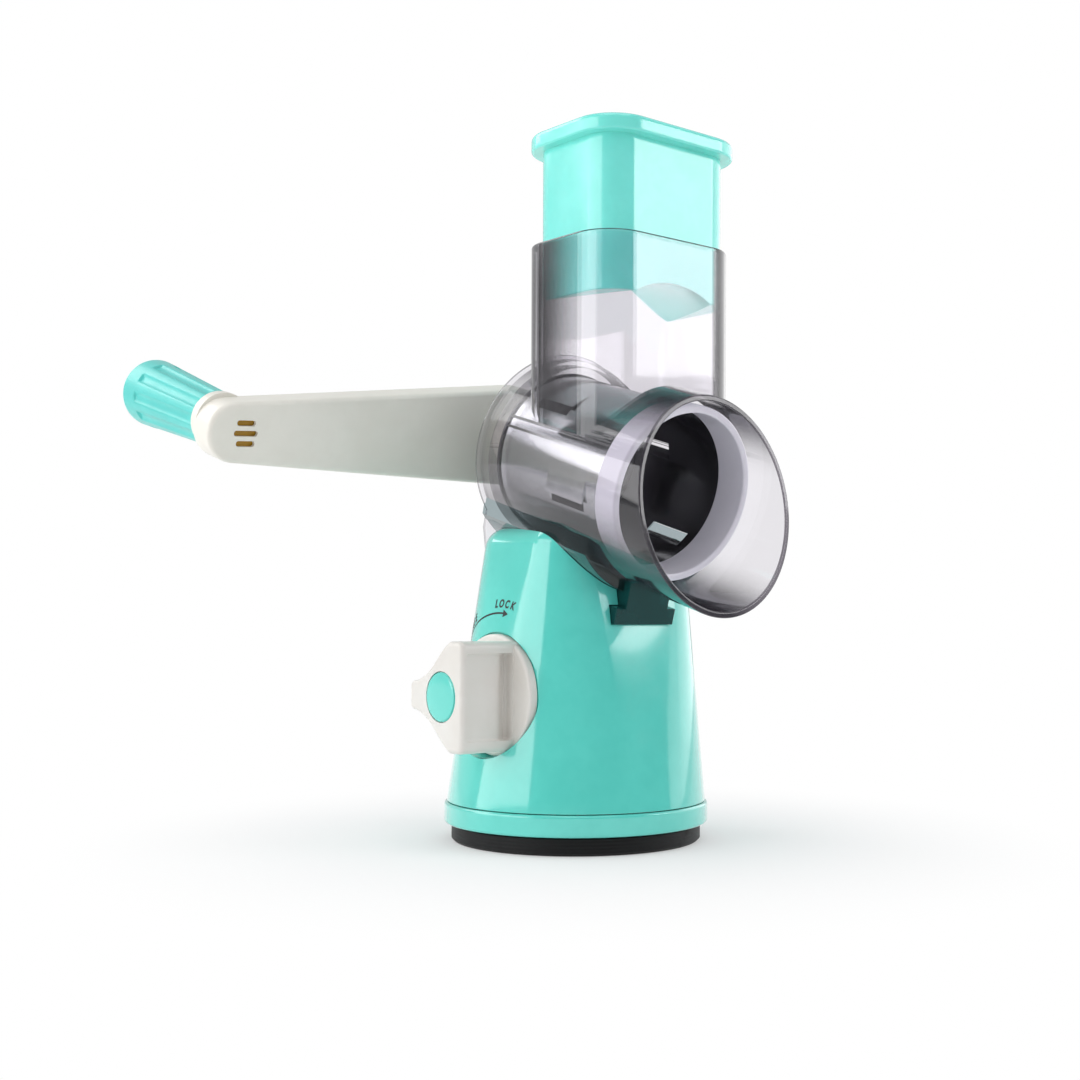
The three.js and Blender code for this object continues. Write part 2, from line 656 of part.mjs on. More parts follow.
/** The hollow of the pedestal, open below, which leaves walls round the saddle and the slot. */
function pedestalHollow() {
  const block = RAIL_WIDTH / 2 + FIT + BODY_WALL;
  const roof = -RAIL_DEPTH - FIT - BODY_WALL;
  const hollow = loft([
    pedestalSection(BODY_BASE - OVERCUT, BODY_WALL),
    pedestalSection(BODY_TOP - HOLLOW_DROP, BODY_WALL),
  ]);
  return solid(hollow)
    .subtract(solid(onDrumAxis(rodY(SADDLE_RADIUS + BODY_WALL, -FAR, FAR, ROUND))))
    .subtract(solid(onDrumAxis(box([-block, block], [-FAR, FAR], [roof, 0]))));
}

function screwBosses(outer) {
  return union(...screwPlaces().map(({ x, y, angle }) => {
    const half = SCREW_RIB_THICKNESS / 2;
    const rib = box([BOSS_CIRCLE, BODY_FOOT_RADIUS], [-half, half], [BODY_BASE, SCREW_BOSS_TOP]);
    const post = rodZ(SCREW_BOSS_RADIUS, BODY_BASE, SCREW_BOSS_TOP, SCREW_ROUND).translate(x, y, 0);
    const toe = rodZ(SCREW_BOSS_RADIUS, PLATE_TOP + FIT, BODY_BASE + ROOT, SCREW_ROUND).translate(x, y, 0);
    return union(solid(rib.rotateZ(angle)), solid(post)).intersect(outer).add(solid(toe));
  }));
}

function screwHoles() {
  return union(...screwPlaces().map(({ x, y }) => {
    const hole = rodZ(SCREW_SHANK_RADIUS + FIT, PLATE_TOP, PLATE_TOP + SCREW_LENGTH, SCREW_ROUND);
    return solid(hole.translate(x, y, 0));
  }));
}

function pedestal() {
  const outer = pedestalForm();
  const cup = rodX(POCKET_RADIUS + BODY_WALL, -BODY_FOOT_RADIUS, BODY_WALL - POCKET_FLOOR, ROUND);
  const pocket = rodX(POCKET_RADIUS, -FAR, -POCKET_FLOOR, ROUND);
  const web = box(
    [WEB_PLACE, WEB_PLACE + WEB_THICKNESS],
    [-WEB_HALF_WIDTH, WEB_HALF_WIDTH],
    [-WEB_BELOW_SHAFT, FAR],
  );
  const bore = rodX(SHAFT_RADIUS + FIT, -POCKET_FLOOR - OVERCUT, SHAFT_END + SHAFT_STUB);
  const saddle = solid(onDrumAxis(rodY(SADDLE_RADIUS, -FAR, FAR, ROUND)));
  const shell = union(
    outer.subtract(pedestalHollow()),
    solid(onKnobAxis(cup)).intersect(outer),
    solid(onKnobAxis(web)).intersect(outer),
    screwBosses(outer),
  );
  const knobRoom = union(solid(onKnobAxis(pocket)), solid(onKnobAxis(bore)));
  const cuts = [saddle, railSlot(), legRoom(), knobRoom, screwHoles()];
  return piece('pedestal', cuts.reduce((left, cut) => left.subtract(cut), shell), turquoise);
}

// ---------------------------------------------------------------- lock knob, cam and plunger

/** Lever outline from the side, nose towards +Y. */
function leverOutline() {
  const top = LEVER_HALF_HEIGHT;
  const crown = LEVER_HALF_HEIGHT - FLANK_CROWN.drop;
  const nose = LEVER_NOSE_HALF_HEIGHT;
  const corner = LEVER_NOSE_CORNER;
  const round = LEVER_ROUND;
  const shape = new THREE.Shape();
  shape.moveTo(-LEVER_FRONT, round - top);
  shape.quadraticCurveTo(-LEVER_FRONT, -top, round - LEVER_FRONT, -top);
  shape.lineTo(-LEVER_SHOULDER, -top);
  shape.bezierCurveTo(FLANK_CROWN.y, -crown, FLANK_HOLLOW.y, -FLANK_HOLLOW.z, LEVER_NOSE - corner, -nose);
  shape.quadraticCurveTo(LEVER_NOSE, -nose, LEVER_NOSE, corner - nose);
  shape.lineTo(LEVER_NOSE, nose - corner);
  shape.quadraticCurveTo(LEVER_NOSE, nose, LEVER_NOSE - corner, nose);
  shape.bezierCurveTo(FLANK_HOLLOW.y, FLANK_HOLLOW.z, FLANK_CROWN.y, crown, -LEVER_SHOULDER, top);
  shape.lineTo(round - LEVER_FRONT, top);
  shape.quadraticCurveTo(-LEVER_FRONT, top, -LEVER_FRONT, top - round);
  shape.closePath();
  return shape;
}

/** The finger hollow in the lever's front, a flattened upright cylinder. */
function leverScoop() {
  const length = 2 * (LEVER_HALF_HEIGHT - SCOOP_END_INSET);
  const centreY = SCOOP_DEPTH - LEVER_FRONT - SCOOP_RADIUS;
  return new THREE.CylinderGeometry(SCOOP_RADIUS, SCOOP_RADIUS, length, ROUND)
    .rotateX(Math.PI / 2)
    .scale(SCOOP_FLATTENING, 1, 1)
    .translate(-(KNOB_FACE + LEVER_FACE) / 2, centreY, 0);
}

function lockKnob() {
  const disc = solid(revolveY([
    [0, -KNOB_FACE],
    [KNOB_RADIUS - KNOB_EDGE, -KNOB_FACE],
    [KNOB_RADIUS, KNOB_EDGE - KNOB_FACE],
    [KNOB_RADIUS, -KNOB_BACK],
    [0, -KNOB_BACK],
  ]).rotateZ(-Math.PI / 2));
  const lever = solid(prismX(leverOutline(), -LEVER_FACE, -KNOB_BACK - ROOT, { bevel: LEVER_CHAMFER }))
    .intersect(solid(rodX(POCKET_RADIUS - FIT, -LEVER_FACE - OVERCUT, 0, ROUND)));
  const capSeat = KNOB_CAP_THICKNESS + FIT - LEVER_FACE;
  const cuts = [
    leverScoop(),
    rodX(KNOB_CAP_RADIUS + FIT, -LEVER_FACE - OVERCUT, capSeat, MID_ROUND),
    rodX(KNOB_SCREW_HEAD_RADIUS + FIT, -LEVER_FACE, KNOB_SCREW_DEPTH - LEVER_FACE),
    rodX(SCREW_SHANK_RADIUS + FIT, -LEVER_FACE, -KNOB_FACE, SCREW_ROUND),
    rodX(SHAFT_RADIUS + FIT, -KNOB_BACK - SHAFT_SOCKET - FIT, 0),
  ];
  const knob = cuts.reduce((left, cut) => left.subtract(solid(cut)), disc.add(lever));
  return piece('lock_knob', knob, whitePlastic);
}

function knobCap() {
  const seat = KNOB_CAP_THICKNESS - LEVER_FACE;
  const outline = [
    [0, seat],
    [KNOB_CAP_RADIUS, seat],
    [KNOB_CAP_RADIUS, KNOB_CAP_CROWN - LEVER_FACE],
    [KNOB_CAP_RADIUS - KNOB_CAP_CROWN, -LEVER_FACE],
    [0, -LEVER_FACE - KNOB_CAP_CROWN],
  ];
  return piece('knob_cap', solid(revolveY(outline, MID_ROUND).rotateZ(-Math.PI / 2)), turquoise);
}

function knobScrew() {
  const seat = KNOB_SCREW_DEPTH - FIT - LEVER_FACE;
  const screw = union(
    solid(rodX(KNOB_SCREW_HEAD_RADIUS, seat - KNOB_SCREW_HEAD_HEIGHT, seat, SCREW_ROUND)),
    solid(rodX(SCREW_SHANK_RADIUS, seat - ROOT, -KNOB_FACE, SCREW_ROUND)),
  );
  return piece('knob_screw', screw, steel);
}

function camShaft() {
  const start = -KNOB_BACK - SHAFT_SOCKET;
  const cam = rodX(CAM_RADIUS, -CAM_WIDTH / 2, CAM_WIDTH / 2, MID_ROUND).translate(0, CAM_THROW, 0);
  const screwHole = rodX(SCREW_SHANK_RADIUS + FIT, start - OVERCUT, OVERCUT - KNOB_FACE, SCREW_ROUND);
  const shaft = union(solid(rodX(SHAFT_RADIUS, start, SHAFT_END)), solid(cam)).subtract(solid(screwHole));
  return piece('cam_shaft', shaft, whitePlastic);
}

function knobGroup() {
  const group = new THREE.Group();
  group.position.set(0, KNOB_OFFSET, KNOB_HEIGHT);
  group.add(lockKnob(), knobCap(), knobScrew(), camShaft());
  return group;
}

function liftPlunger() {
  const padTop = PAD_HEIGHT + PAD_BOSS_RISE + FIT;
  const front = KNOB_OFFSET - CAM_RADIUS - YOKE_SIDE_GAP;
  const back = KNOB_OFFSET + CAM_THROW + CAM_RADIUS + YOKE_SIDE_GAP;
  const floor = KNOB_HEIGHT - CAM_RADIUS - FIT;
  const roof = KNOB_HEIGHT + CAM_RADIUS + FIT + CAM_SLACK;
  const half = CAM_WIDTH / 2;
  const wall = YOKE_WALL;
  const frame = box([-half, half], [front - wall, back + wall], [floor - wall, roof + wall]);
  const window = box([-half - OVERCUT, half + OVERCUT], [front, back], [floor, roof]);
  const stem = rodZ(STEM_RADIUS, padTop, floor - ROOT);
  const foot = rodZ(STEM_FOOT_RADIUS, padTop, padTop + STEM_FOOT_HEIGHT);
  const plunger = union(solid(frame).subtract(solid(window)), solid(stem), solid(foot));
  return piece('lift_plunger', plunger, whitePlastic);
}

// ---------------------------------------------------------------- feed housing

/** Flat tongue behind the pedestal, in the plane of the back rim. */
function backLeg() {
  const cornerX = LEG_FOOT_HALF_WIDTH - LEG_CORNER;
  const cornerZ = LEG_CORNER - LEG_DEPTH;
  const shape = new THREE.Shape();
  shape.moveTo(LEG_HALF_WIDTH, 0);
  shape.lineTo(-LEG_HALF_WIDTH, 0);
  shape.lineTo(-LEG_HALF_WIDTH, -LEG_STRAIGHT);
  shape.absarc(-cornerX, cornerZ, LEG_CORNER, Math.PI, 1.5 * Math.PI);
  shape.absarc(cornerX, cornerZ, LEG_CORNER, 1.5 * Math.PI, 2 * Math.PI);
  shape.lineTo(LEG_HALF_WIDTH, -LEG_STRAIGHT);
  shape.closePath();
  return solid(prismY(shape, BACK_FACE, RIM_BACK));
}

/** Round seat under the chamber with the T-rail below it. */
function seatAndRail() {
  const stem = RAIL_STEM_WIDTH / 2;
  const flange = RAIL_WIDTH / 2;
  const back = BACK_FACE + ROOT;
  const sides = [-SEAT_HALF_WIDTH, SEAT_HALF_WIDTH];
  const seat = solid(rodY(SEAT_RADIUS, SEAT_FRONT, back, ROUND))
    .intersect(solid(box(sides, [-FAR, FAR], [-FAR, SEAT_UPPER])));
  return union(
    seat,
    solid(box([-stem, stem], [RAIL_FRONT, back], [-RAIL_TOP - ROOT, -CHAMBER_BORE])),
    solid(box([-flange, flange], [RAIL_FRONT, back], [-RAIL_DEPTH, -RAIL_TOP])),
  );
}

/** Stiffening ribs round the bearing, on the back of the chamber. */
function backRibs() {
  const inner = BEARING_RADIUS - ROOT;
  const outer = BACK_RIM_RADIUS - BACK_RIB_MARGIN;
  const outline = polygon([
    [BACK_FACE, inner],
    [RIM_BACK + BACK_RIB_RISE, inner],
    [RIM_BACK, outer],
    [BACK_FACE, outer],
  ]);
  return union(...Array.from({ length: BACK_RIB_COUNT }, (_, k) => {
    const rib = prismX(outline, -BACK_RIB_THICKNESS / 2, BACK_RIB_THICKNESS / 2);
    return solid(rib.rotateY((k + 0.5) * 2 * Math.PI / BACK_RIB_COUNT));
  }));
}

/** Thin ribs along both sides of the chamber, just below the hopper. */
function guideRibs() {
  const angles = GUIDE_RIB_ANGLES.flatMap((degrees) => [degrees, 180 - degrees]);
  return union(...angles.map((degrees) => {
    const rib = box(
      [CHAMBER_RADIUS - ROOT, CHAMBER_RADIUS + GUIDE_RIB_HEIGHT],
      [GUIDE_RIB_FRONT, 0],
      [-GUIDE_RIB_WIDTH / 2, GUIDE_RIB_WIDTH / 2],
    );
    return solid(rib.rotateY(-THREE.MathUtils.degToRad(degrees)));
  }));
}

/** Everything in front of the slanted mouth, but for the seat and the rail below it. */
function mouthCut() {
  const slope = (MOUTH_TOP - MOUTH_BOTTOM) / (2 * CHAMBER_RADIUS);
  const middle = (MOUTH_TOP + MOUTH_BOTTOM) / 2;
  const edge = (height) => [middle + slope * height, height];
  const lowest = -CHAMBER_RADIUS - OVERCUT;
  return solid(prismX(polygon([edge(lowest), [-FAR, lowest], [-FAR, FAR], edge(FAR)]), -FAR, FAR));
}

function feedHousing() {
  const chamber = union(
    solid(rodY(CHAMBER_RADIUS, MOUTH_BOTTOM - MOUTH_LIP, RIM_BACK - FIT, ROUND)),
    solid(rodY(BACK_RIM_RADIUS, BACK_FACE, RIM_BACK, ROUND)),
    solid(rodY(BEARING_RADIUS, BACK_FACE, BEARING_END, MID_ROUND)),
    backLeg(),
    seatAndRail(),
    backRibs(),
    guideRibs(),
  );
  const onAxis = (body) => body.transform(DRUM_FRAME.elements);
  const lowest = AXIS_HEIGHT - HOPPER_LOWEST;
  const hopperPlan = roundedRectangle(HOPPER_WIDTH, HOPPER_DEPTH, HOPPER_CORNER, HOPPER_CENTRE);
  const chutePlan = roundedRectangle(CHUTE_WIDTH, CHUTE_DEPTH, CHUTE_CORNER, HOPPER_CENTRE);
  const hopper = solid(prismZ(hopperPlan, lowest, HOPPER_TOP)).intersect(aboveAxis(HOPPER_FLOOR));
  const chute = solid(prismZ(chutePlan, lowest, HOPPER_TOP + OVERCUT)).intersect(aboveAxis(CHUTE_FLOOR));
  const bore = solid(rodY(CHAMBER_BORE, -FAR, CHAMBER_BACK, ROUND));
  const bearing = solid(rodY(BUSH_RADIUS + FIT, CHAMBER_BACK - OVERCUT, BEARING_END + OVERCUT));
  const cuts = [onAxis(bore), chute, onAxis(mouthCut()), onAxis(bearing)];
  const body = cuts.reduce((left, cut) => left.subtract(cut), onAxis(chamber).add(hopper));
  return piece('feed_housing', body, clearPlastic);
}

/** White sleeve in the housing's bearing; drawn about the drum axis. */
function bearingBush() {
  const bore = DRIVE_RADIUS + FIT;
  const outline = [
    [bore, BACK_FACE],
    [BUSH_RADIUS, BACK_FACE],
    [BUSH_RADIUS, BEARING_END + FIT],
    [BUSH_RADIUS + BUSH_FLANGE_STEP, BEARING_END + FIT],
    [BUSH_RADIUS + BUSH_FLANGE_STEP, BUSH_END],
    [bore, BUSH_END],
  ];
  return piece('bearing_bush', solid(revolveY(outline, MID_ROUND)), whitePlastic);
}

// ---------------------------------------------------------------- drum

/** One raised blade: a plate that leaves the sleeve's surface and rises to its edge. */
function blade(front, back) {
  const at = (radius, turn) => [radius * Math.cos(turn), radius * Math.sin(turn)];
  const line = shares(BLADE_STEPS).map((share) => ({
    radius: SLEEVE_RADIUS + BLADE_RISE * share,
    turn: THREE.MathUtils.degToRad(BLADE_ANGLE) * share,
  }));
  const outer = line.map(({ radius, turn }) => at(radius, turn));
  const inner = line.map(({ radius, turn }) => at(radius - SLEEVE_THICKNESS, turn)).reverse();
  return solid(prismY(polygon([...outer, ...inner]), front, back));
}

/** The window that a slice falls through, under the blade's edge. */
function bladeSlot(front, back) {
  const start = THREE.MathUtils.degToRad(BLADE_ANGLE - SLOT_ANGLE / 2);
  const end = start + THREE.MathUtils.degToRad(SLOT_ANGLE);
  const outline = new THREE.Shape();
  outline.absarc(0, 0, SLEEVE_RADIUS + SKIN, start, end);
  outline.absarc(0, 0, SLEEVE_BORE - OVERCUT, end, start, true);
  outline.closePath();
  return solid(prismY(outline, front + SLOT_END_INSET, back - SLOT_END_INSET, { curveSegments: 4 }));
}

function drumSleeve() {
  let sleeve = solid(revolveY([
    [SLEEVE_BORE, SLEEVE_FRONT],
    [SLEEVE_RADIUS, SLEEVE_FRONT],
    [SLEEVE_RADIUS, SLEEVE_BACK],
    [SLEEVE_BORE, SLEEVE_BACK],
  ]));
  const blades = [];
  BLADE_ROW_TURNS.forEach((rowTurn, row) => {
    const front = SLEEVE_FRONT + BLADE_FRONT_MARGIN + row * (BLADE_LENGTH + BLADE_ROW_GAP);
    const back = front + BLADE_LENGTH;
    for (let k = 0; k < BLADES_PER_ROW; k += 1) {
      const turn = THREE.MathUtils.degToRad(rowTurn + k * 360 / BLADES_PER_ROW);
      const place = new THREE.Matrix4().makeRotationY(turn).elements;
      sleeve = sleeve.subtract(bladeSlot(front, back).transform(place));
      blades.push(blade(front, back).transform(place));
    }
  });
  return piece('drum_sleeve', union(sleeve, ...blades), steel);
}

function drumFrontRing() {
  const inner = DRUM_RING_RADIUS - DRUM_RING_WALL;
  const edge = DRUM_RING_EDGE;
  const groove = SLEEVE_FRONT - FIT;
  const collar = SLEEVE_BORE - FIT;
  const outline = [
    [inner, DRUM_RING_FRONT + edge],
    [inner + edge, DRUM_RING_FRONT],
    [DRUM_RING_RADIUS - edge, DRUM_RING_FRONT],
    [DRUM_RING_RADIUS, DRUM_RING_FRONT + edge],
    [DRUM_RING_RADIUS, DRUM_RING_BACK],
    [SLEEVE_RADIUS + FIT, DRUM_RING_BACK],
    [SLEEVE_RADIUS + FIT, groove],
    [collar, groove],
    [collar, DRUM_RING_BACK + DRUM_RING_COLLAR],
    [inner, DRUM_RING_BACK + DRUM_RING_COLLAR],
  ];
  return piece('drum_front_ring', solid(revolveY(outline)), whitePlastic);
}

function drumRearHub() {
  const collar = SLEEVE_BORE - FIT;
  const flange = SLEEVE_RADIUS + HUB_FLANGE_STEP;
  const front = SLEEVE_BACK - HUB_COLLAR_LENGTH;
  const seat = SLEEVE_BACK + FIT;
  const webFront = HUB_BACK - HUB_WEB;
  const boss = HUB_BACK - HUB_BOSS_LENGTH;
  const hub = solid(revolveY([
    [0, boss],
    [HUB_BOSS_RADIUS - HUB_BOSS_FLOOR, boss],
    [HUB_BOSS_RADIUS, boss + HUB_BOSS_FLOOR],
    [HUB_BOSS_RADIUS, webFront],
    [collar - HUB_COLLAR_WALL, webFront],
    [collar - HUB_COLLAR_WALL, front],
    [collar, front],
    [collar, seat],
    [flange, seat],
    [flange, HUB_BACK],
    [0, HUB_BACK],
  ]));
  const half = DRIVE_SQUARE / 2 + FIT;
  const socket = box([-half, half], [boss + HUB_BOSS_FLOOR, HUB_BACK + OVERCUT], [-half, half]);
  return piece('drum_rear_hub', hub.subtract(solid(socket)), whitePlastic);
}

// ---------------------------------------------------------------- crank

function driveShaft() {
  const squareFront = HUB_BACK - HUB_BOSS_LENGTH + HUB_BOSS_FLOOR + FIT;
  const half = DRIVE_SQUARE / 2;
  const square = solid(box([-half, half], [squareFront, CHAMBER_BACK], [-half, half]))
    .intersect(solid(rodY(DRIVE_RADIUS, squareFront - OVERCUT, CHAMBER_BACK + OVERCUT)));
  const round = solid(rodY(DRIVE_RADIUS, HUB_BACK + FIT, SHAFT_BACK - FIT));
  const tap = rodY(CRANK_SCREW_RADIUS + FIT, ARM_FACE - CRANK_SCREW_REACH - ROOT, SHAFT_BACK, SCREW_ROUND);
  return piece('drive_shaft', union(round, square).subtract(solid(tap)), steel);
}

/** Arm outline: a large hub and a small end joined by their common tangents. */
function armOutline(inset) {
  const lean = Math.asin((ARM_HUB_RADIUS - ARM_END_RADIUS) / ARM_REACH);
  const shape = new THREE.Shape();
  shape.absarc(0, 0, ARM_HUB_RADIUS - inset, -Math.PI / 2 - lean, Math.PI / 2 + lean);
  shape.absarc(-ARM_REACH, 0, ARM_END_RADIUS - inset, Math.PI / 2 + lean, 1.5 * Math.PI - lean);
  shape.closePath();
  return shape;
}

/** Move a geometry drawn about Y to the grip's axis. */
function onGripAxis(geometry) {
  return geometry.translate(-ARM_REACH, 0, GRIP_RAISE);
}

/** Spine and cross ribs that stiffen the arm's hollow back. */
function armRibs() {
  const half = ARM_RIB_THICKNESS / 2;
  const depth = [ARM_FACE + ROOT, ARM_BACK - ARM_RIB_SETBACK];
  const height = [-ARM_HUB_RADIUS, ARM_HUB_RADIUS];
  return union(
    solid(box([-ARM_REACH, 0], depth, [-half, half])),
    ...ARM_RIB_PLACES.map((place) => solid(box([-place - half, half - place], depth, height))),
  );
}

/** Long holes through the arm's face, in front of the slot plate. */
function faceSlots() {
  return union(...FACE_SLOT_LENGTHS.map((length, k) => {
    const height = (k - (FACE_SLOT_LENGTHS.length - 1) / 2) * FACE_SLOT_PITCH;
    const outline = roundedRectangle(length, FACE_SLOT_HEIGHT, FACE_SLOT_HEIGHT / 2 - SKIN, height);
    const slot = prismY(outline, ARM_FACE - OVERCUT, ARM_INSIDE + OVERCUT, { curveSegments: 3 });
    return solid(slot.translate(FACE_SLOT_INSET - ARM_REACH, 0, 0));
  }));
}

/** Room for the slot plate, between the arm's face and the grip's boss. */
function slotPlateRoom() {
  const half = FACE_SLOT_PITCH + FACE_SLOT_HEIGHT;
  const room = box(
    [-ARM_REACH - ARM_END_RADIUS, ARM_END_RADIUS + 2 * FACE_SLOT_INSET - ARM_REACH],
    [ARM_INSIDE, PIN_START],
    [-half, half],
  );
  return solid(room).intersect(solid(prismY(armOutline(ARM_BEVEL + ARM_WALL), ARM_INSIDE, ARM_BACK)));
}

function crankArm() {
  const form = solid(prismY(armOutline(0), ARM_FACE, ARM_BACK, { bevel: ARM_BEVEL }));
  const hollow = prismY(armOutline(ARM_BEVEL + ARM_WALL), ARM_INSIDE, ARM_BACK + OVERCUT);
  const hubBoss = rodY(ARM_BOSS_RADIUS, ARM_FACE + ROOT, ARM_BOSS_BACK, MID_ROUND);
  const endBoss = onGripAxis(rodY(NECK_RADIUS, PIN_START, ARM_BACK, MID_ROUND));
  const filled = union(
    form.subtract(solid(hollow)),
    armRibs().intersect(form),
    solid(hubBoss),
    solid(endBoss).intersect(form),
  );
  const neck = onGripAxis(rodY(NECK_RADIUS, ARM_BACK - ARM_BEVEL - ROOT, ARM_BACK + NECK_LENGTH, MID_ROUND));
  const collar = rodY(ARM_COLLAR_RADIUS, COLLAR_FRONT, ARM_FACE + ROOT, MID_ROUND);
  const cuts = [
    faceSlots(),
    solid(rodY(DRIVE_RADIUS + FIT, COLLAR_FRONT - OVERCUT, SHAFT_BACK)),
    solid(rodY(CRANK_SCREW_RADIUS + FIT, ARM_FACE, ARM_BACK + OVERCUT, SCREW_ROUND)),
    solid(onGripAxis(rodY(PIN_RADIUS + FIT, PIN_START, GRIP_START + OVERCUT))),
  ];
  const arm = union(filled.subtract(slotPlateRoom()), solid(neck), solid(collar));
  return piece('crank_arm', cuts.reduce((left, cut) => left.subtract(cut), arm), armPlastic);
}

/** Amber plate behind the three slots, which keeps the grip's pin in its boss. */
function slotPlate() {
  const half = FACE_SLOT_PITCH + SLOT_PLATE_LAP;
  const plate = box(
    [-ARM_REACH - SLOT_PLATE_MARGIN, 2 * FACE_SLOT_INSET + SLOT_PLATE_MARGIN - ARM_REACH],
    [ARM_INSIDE + FIT, PIN_START - FIT],
    [-half, half],
  );
  return piece('slot_plate', solid(plate), amber);
}

function crankScrew() {
  const seat = ARM_BOSS_BACK + FIT;
  const screw = union(
    solid(rodY(CRANK_SCREW_HEAD, seat, seat + CRANK_SCREW_HEAD_HEIGHT, SCREW_ROUND)),
    solid(rodY(CRANK_SCREW_RADIUS, ARM_FACE - CRANK_SCREW_REACH, seat + ROOT, SCREW_ROUND)),
  );
  return piece('crank_screw', screw, steel);
}

/** Round cap over the crank's screw. */
function hubCap() {
  const seat = ARM_BACK + FIT;
  const top = seat + HUB_CAP_HEIGHT;
  const room = CRANK_SCREW_HEAD + ROOT;
  const outline = [
    [room, seat],
    [HUB_CAP_RADIUS, seat],
    [HUB_CAP_RADIUS, top - HUB_CAP_EDGE],
    [HUB_CAP_RADIUS - HUB_CAP_EDGE, top],
    [0, top],
    [0, top - HUB_CAP_TOP],
    [room, top - HUB_CAP_TOP],
  ];
  return piece('hub_cap', solid(revolveY(outline, MID_ROUND)), armPlastic);
}

// ---------------------------------------------------------------- grip

function gripPin() {
  const pin = union(
    solid(rodY(PIN_RADIUS, PIN_START + FIT, PIN_END)),
    solid(rodY(PIN_HEAD_RADIUS, PIN_END - PIN_HEAD_HEIGHT, PIN_END)),
  );
  return piece('grip_pin', pin, steel);
}

/** Fluted handle, drawn about its own axis along Y. */
function gripHandle() {
  const widest = GRIP_BACK - GRIP_DOME;
  const capFloor = GRIP_BACK - GRIP_CAP_SEAT;
  const headSeat = PIN_END - PIN_HEAD_HEIGHT - FIT;
  const dome = shares(GRIP_EDGE_STEPS).map((share) => {
    const angle = share * Math.PI / 2;
    return [GRIP_END_RADIUS - GRIP_EDGE * (1 - Math.cos(angle)), widest + GRIP_DOME * Math.sin(angle)];
  });
  const body = solid(revolveY([
    [PIN_RADIUS + FIT, GRIP_START],
    [GRIP_NECK_RADIUS - ROOT, GRIP_START],
    [GRIP_NECK_RADIUS, GRIP_START + ROOT],
    ...dome,
    [GRIP_CAP_RADIUS + FIT, GRIP_BACK],
    [GRIP_CAP_RADIUS + FIT, capFloor],
    [PIN_HEAD_RADIUS + FIT, capFloor],
    [PIN_HEAD_RADIUS + FIT, headSeat],
    [PIN_RADIUS + FIT, headSeat],
  ]));
  const lean = Math.atan((GRIP_END_RADIUS - GRIP_NECK_RADIUS) / (widest - GRIP_START));
  const middle = (GRIP_START + widest) / 2;
  const reach = (GRIP_NECK_RADIUS + GRIP_END_RADIUS) / 2 + FLUTE_RADIUS - FLUTE_DEPTH;
  const flutes = Array.from({ length: FLUTE_COUNT }, (_, k) => {
    const flute = rodY(FLUTE_RADIUS, -GRIP_LENGTH, GRIP_BACK - FLUTE_STOP - middle, FLUTE_ROUND)
      .rotateZ(-lean)
      .translate(reach, middle, 0)
      .rotateY(k * 2 * Math.PI / FLUTE_COUNT);
    return solid(flute);
  });
  return piece('grip_handle', body.subtract(union(...flutes)), turquoise);
}

function gripCap() {
  const seat = GRIP_BACK - GRIP_CAP_SEAT + FIT;
  const outline = [
    [0, seat],
    [GRIP_CAP_RADIUS, seat],
    [GRIP_CAP_RADIUS, GRIP_BACK],
    [GRIP_CAP_RADIUS - GRIP_CAP_EDGE.inset, GRIP_BACK + GRIP_CAP_EDGE.rise],
    [0, GRIP_BACK + GRIP_CAP_CROWN],
  ];
  return piece('grip_cap', solid(revolveY(outline, MID_ROUND)), turquoise);
}

function gripGroup() {
  const group = new THREE.Group();
  group.position.set(-ARM_REACH, 0, GRIP_RAISE);
  group.add(gripPin(), gripHandle(), gripCap());
  return group;
}

/** All that is on the drum axis, with the crank at its rest angle. */
function drumGroup() {
  const crank = new THREE.Group();
  crank.rotation.y = -ARM_REST_ANGLE;
  crank.add(drumRearHub(), driveShaft(), crankArm(), slotPlate(), crankScrew(), hubCap(), gripGroup());
  const group = new THREE.Group();
  group.position.z = AXIS_HEIGHT;
  group.rotation.x = DRUM_TILT;
  group.add(bearingBush(), drumSleeve(), drumFrontRing(), crank);
  return group;
}

// ---------------------------------------------------------------- pusher

/** Plan of the pusher, grown by a margin; a wall's thickness is a negative one. */
function pusherPlan(margin) {
  const width = PUSHER_WIDTH + 2 * margin;
  const depth = PUSHER_DEPTH + 2 * margin;
  return roundedRectangle(width, depth, PUSHER_CORNER + margin, HOPPER_CENTRE);
}

/** Hollow pusher, open above, whose floor arches over the drum; drawn where it is pushed home. */
function pusher() {
  const seat = HOPPER_TOP + FIT;
  const rimTop = seat + PUSHER_RIM_HEIGHT;
  const skirt = seat - PUSHER_SKIRT;
  const archRadius = SLEEVE_RADIUS + BLADE_RISE + PUSHER_DRUM_GAP;
  const arch = (radius) => solid(onDrumAxis(rodY(radius, -FAR, FAR, ROUND)));
  const form = union(
    solid(prismZ(pusherPlan(0), skirt, seat + ROOT)),
    solid(prismZ(pusherPlan(PUSHER_RIM_OVERHANG), seat, rimTop)),
  );
  const hollow = solid(prismZ(pusherPlan(-PUSHER_WALL), skirt + PUSHER_WALL, rimTop + OVERCUT))
    .subtract(arch(archRadius + PUSHER_WALL));
  const mesh = piece('pusher', form.subtract(arch(archRadius)).subtract(hollow), turquoise);
  mesh.position.set(PUSHER_SHIFT, -PUSHER_SHIFT, PUSHER_LIFT);
  return mesh;
}

// ---------------------------------------------------------------- assembly

const grater = new THREE.Group();
grater.add(suctionPad(), footRing(), pressurePlate(), ...plateScrews());
grater.add(pedestal(), knobGroup(), liftPlunger(), feedHousing(), drumGroup(), pusher());

export default grater;
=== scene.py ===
"""Rotary cheese grater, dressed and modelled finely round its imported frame.

Sizes are millimetres in the classes below. Every mesh is scaled to metres when
it becomes an object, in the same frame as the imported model.
"""

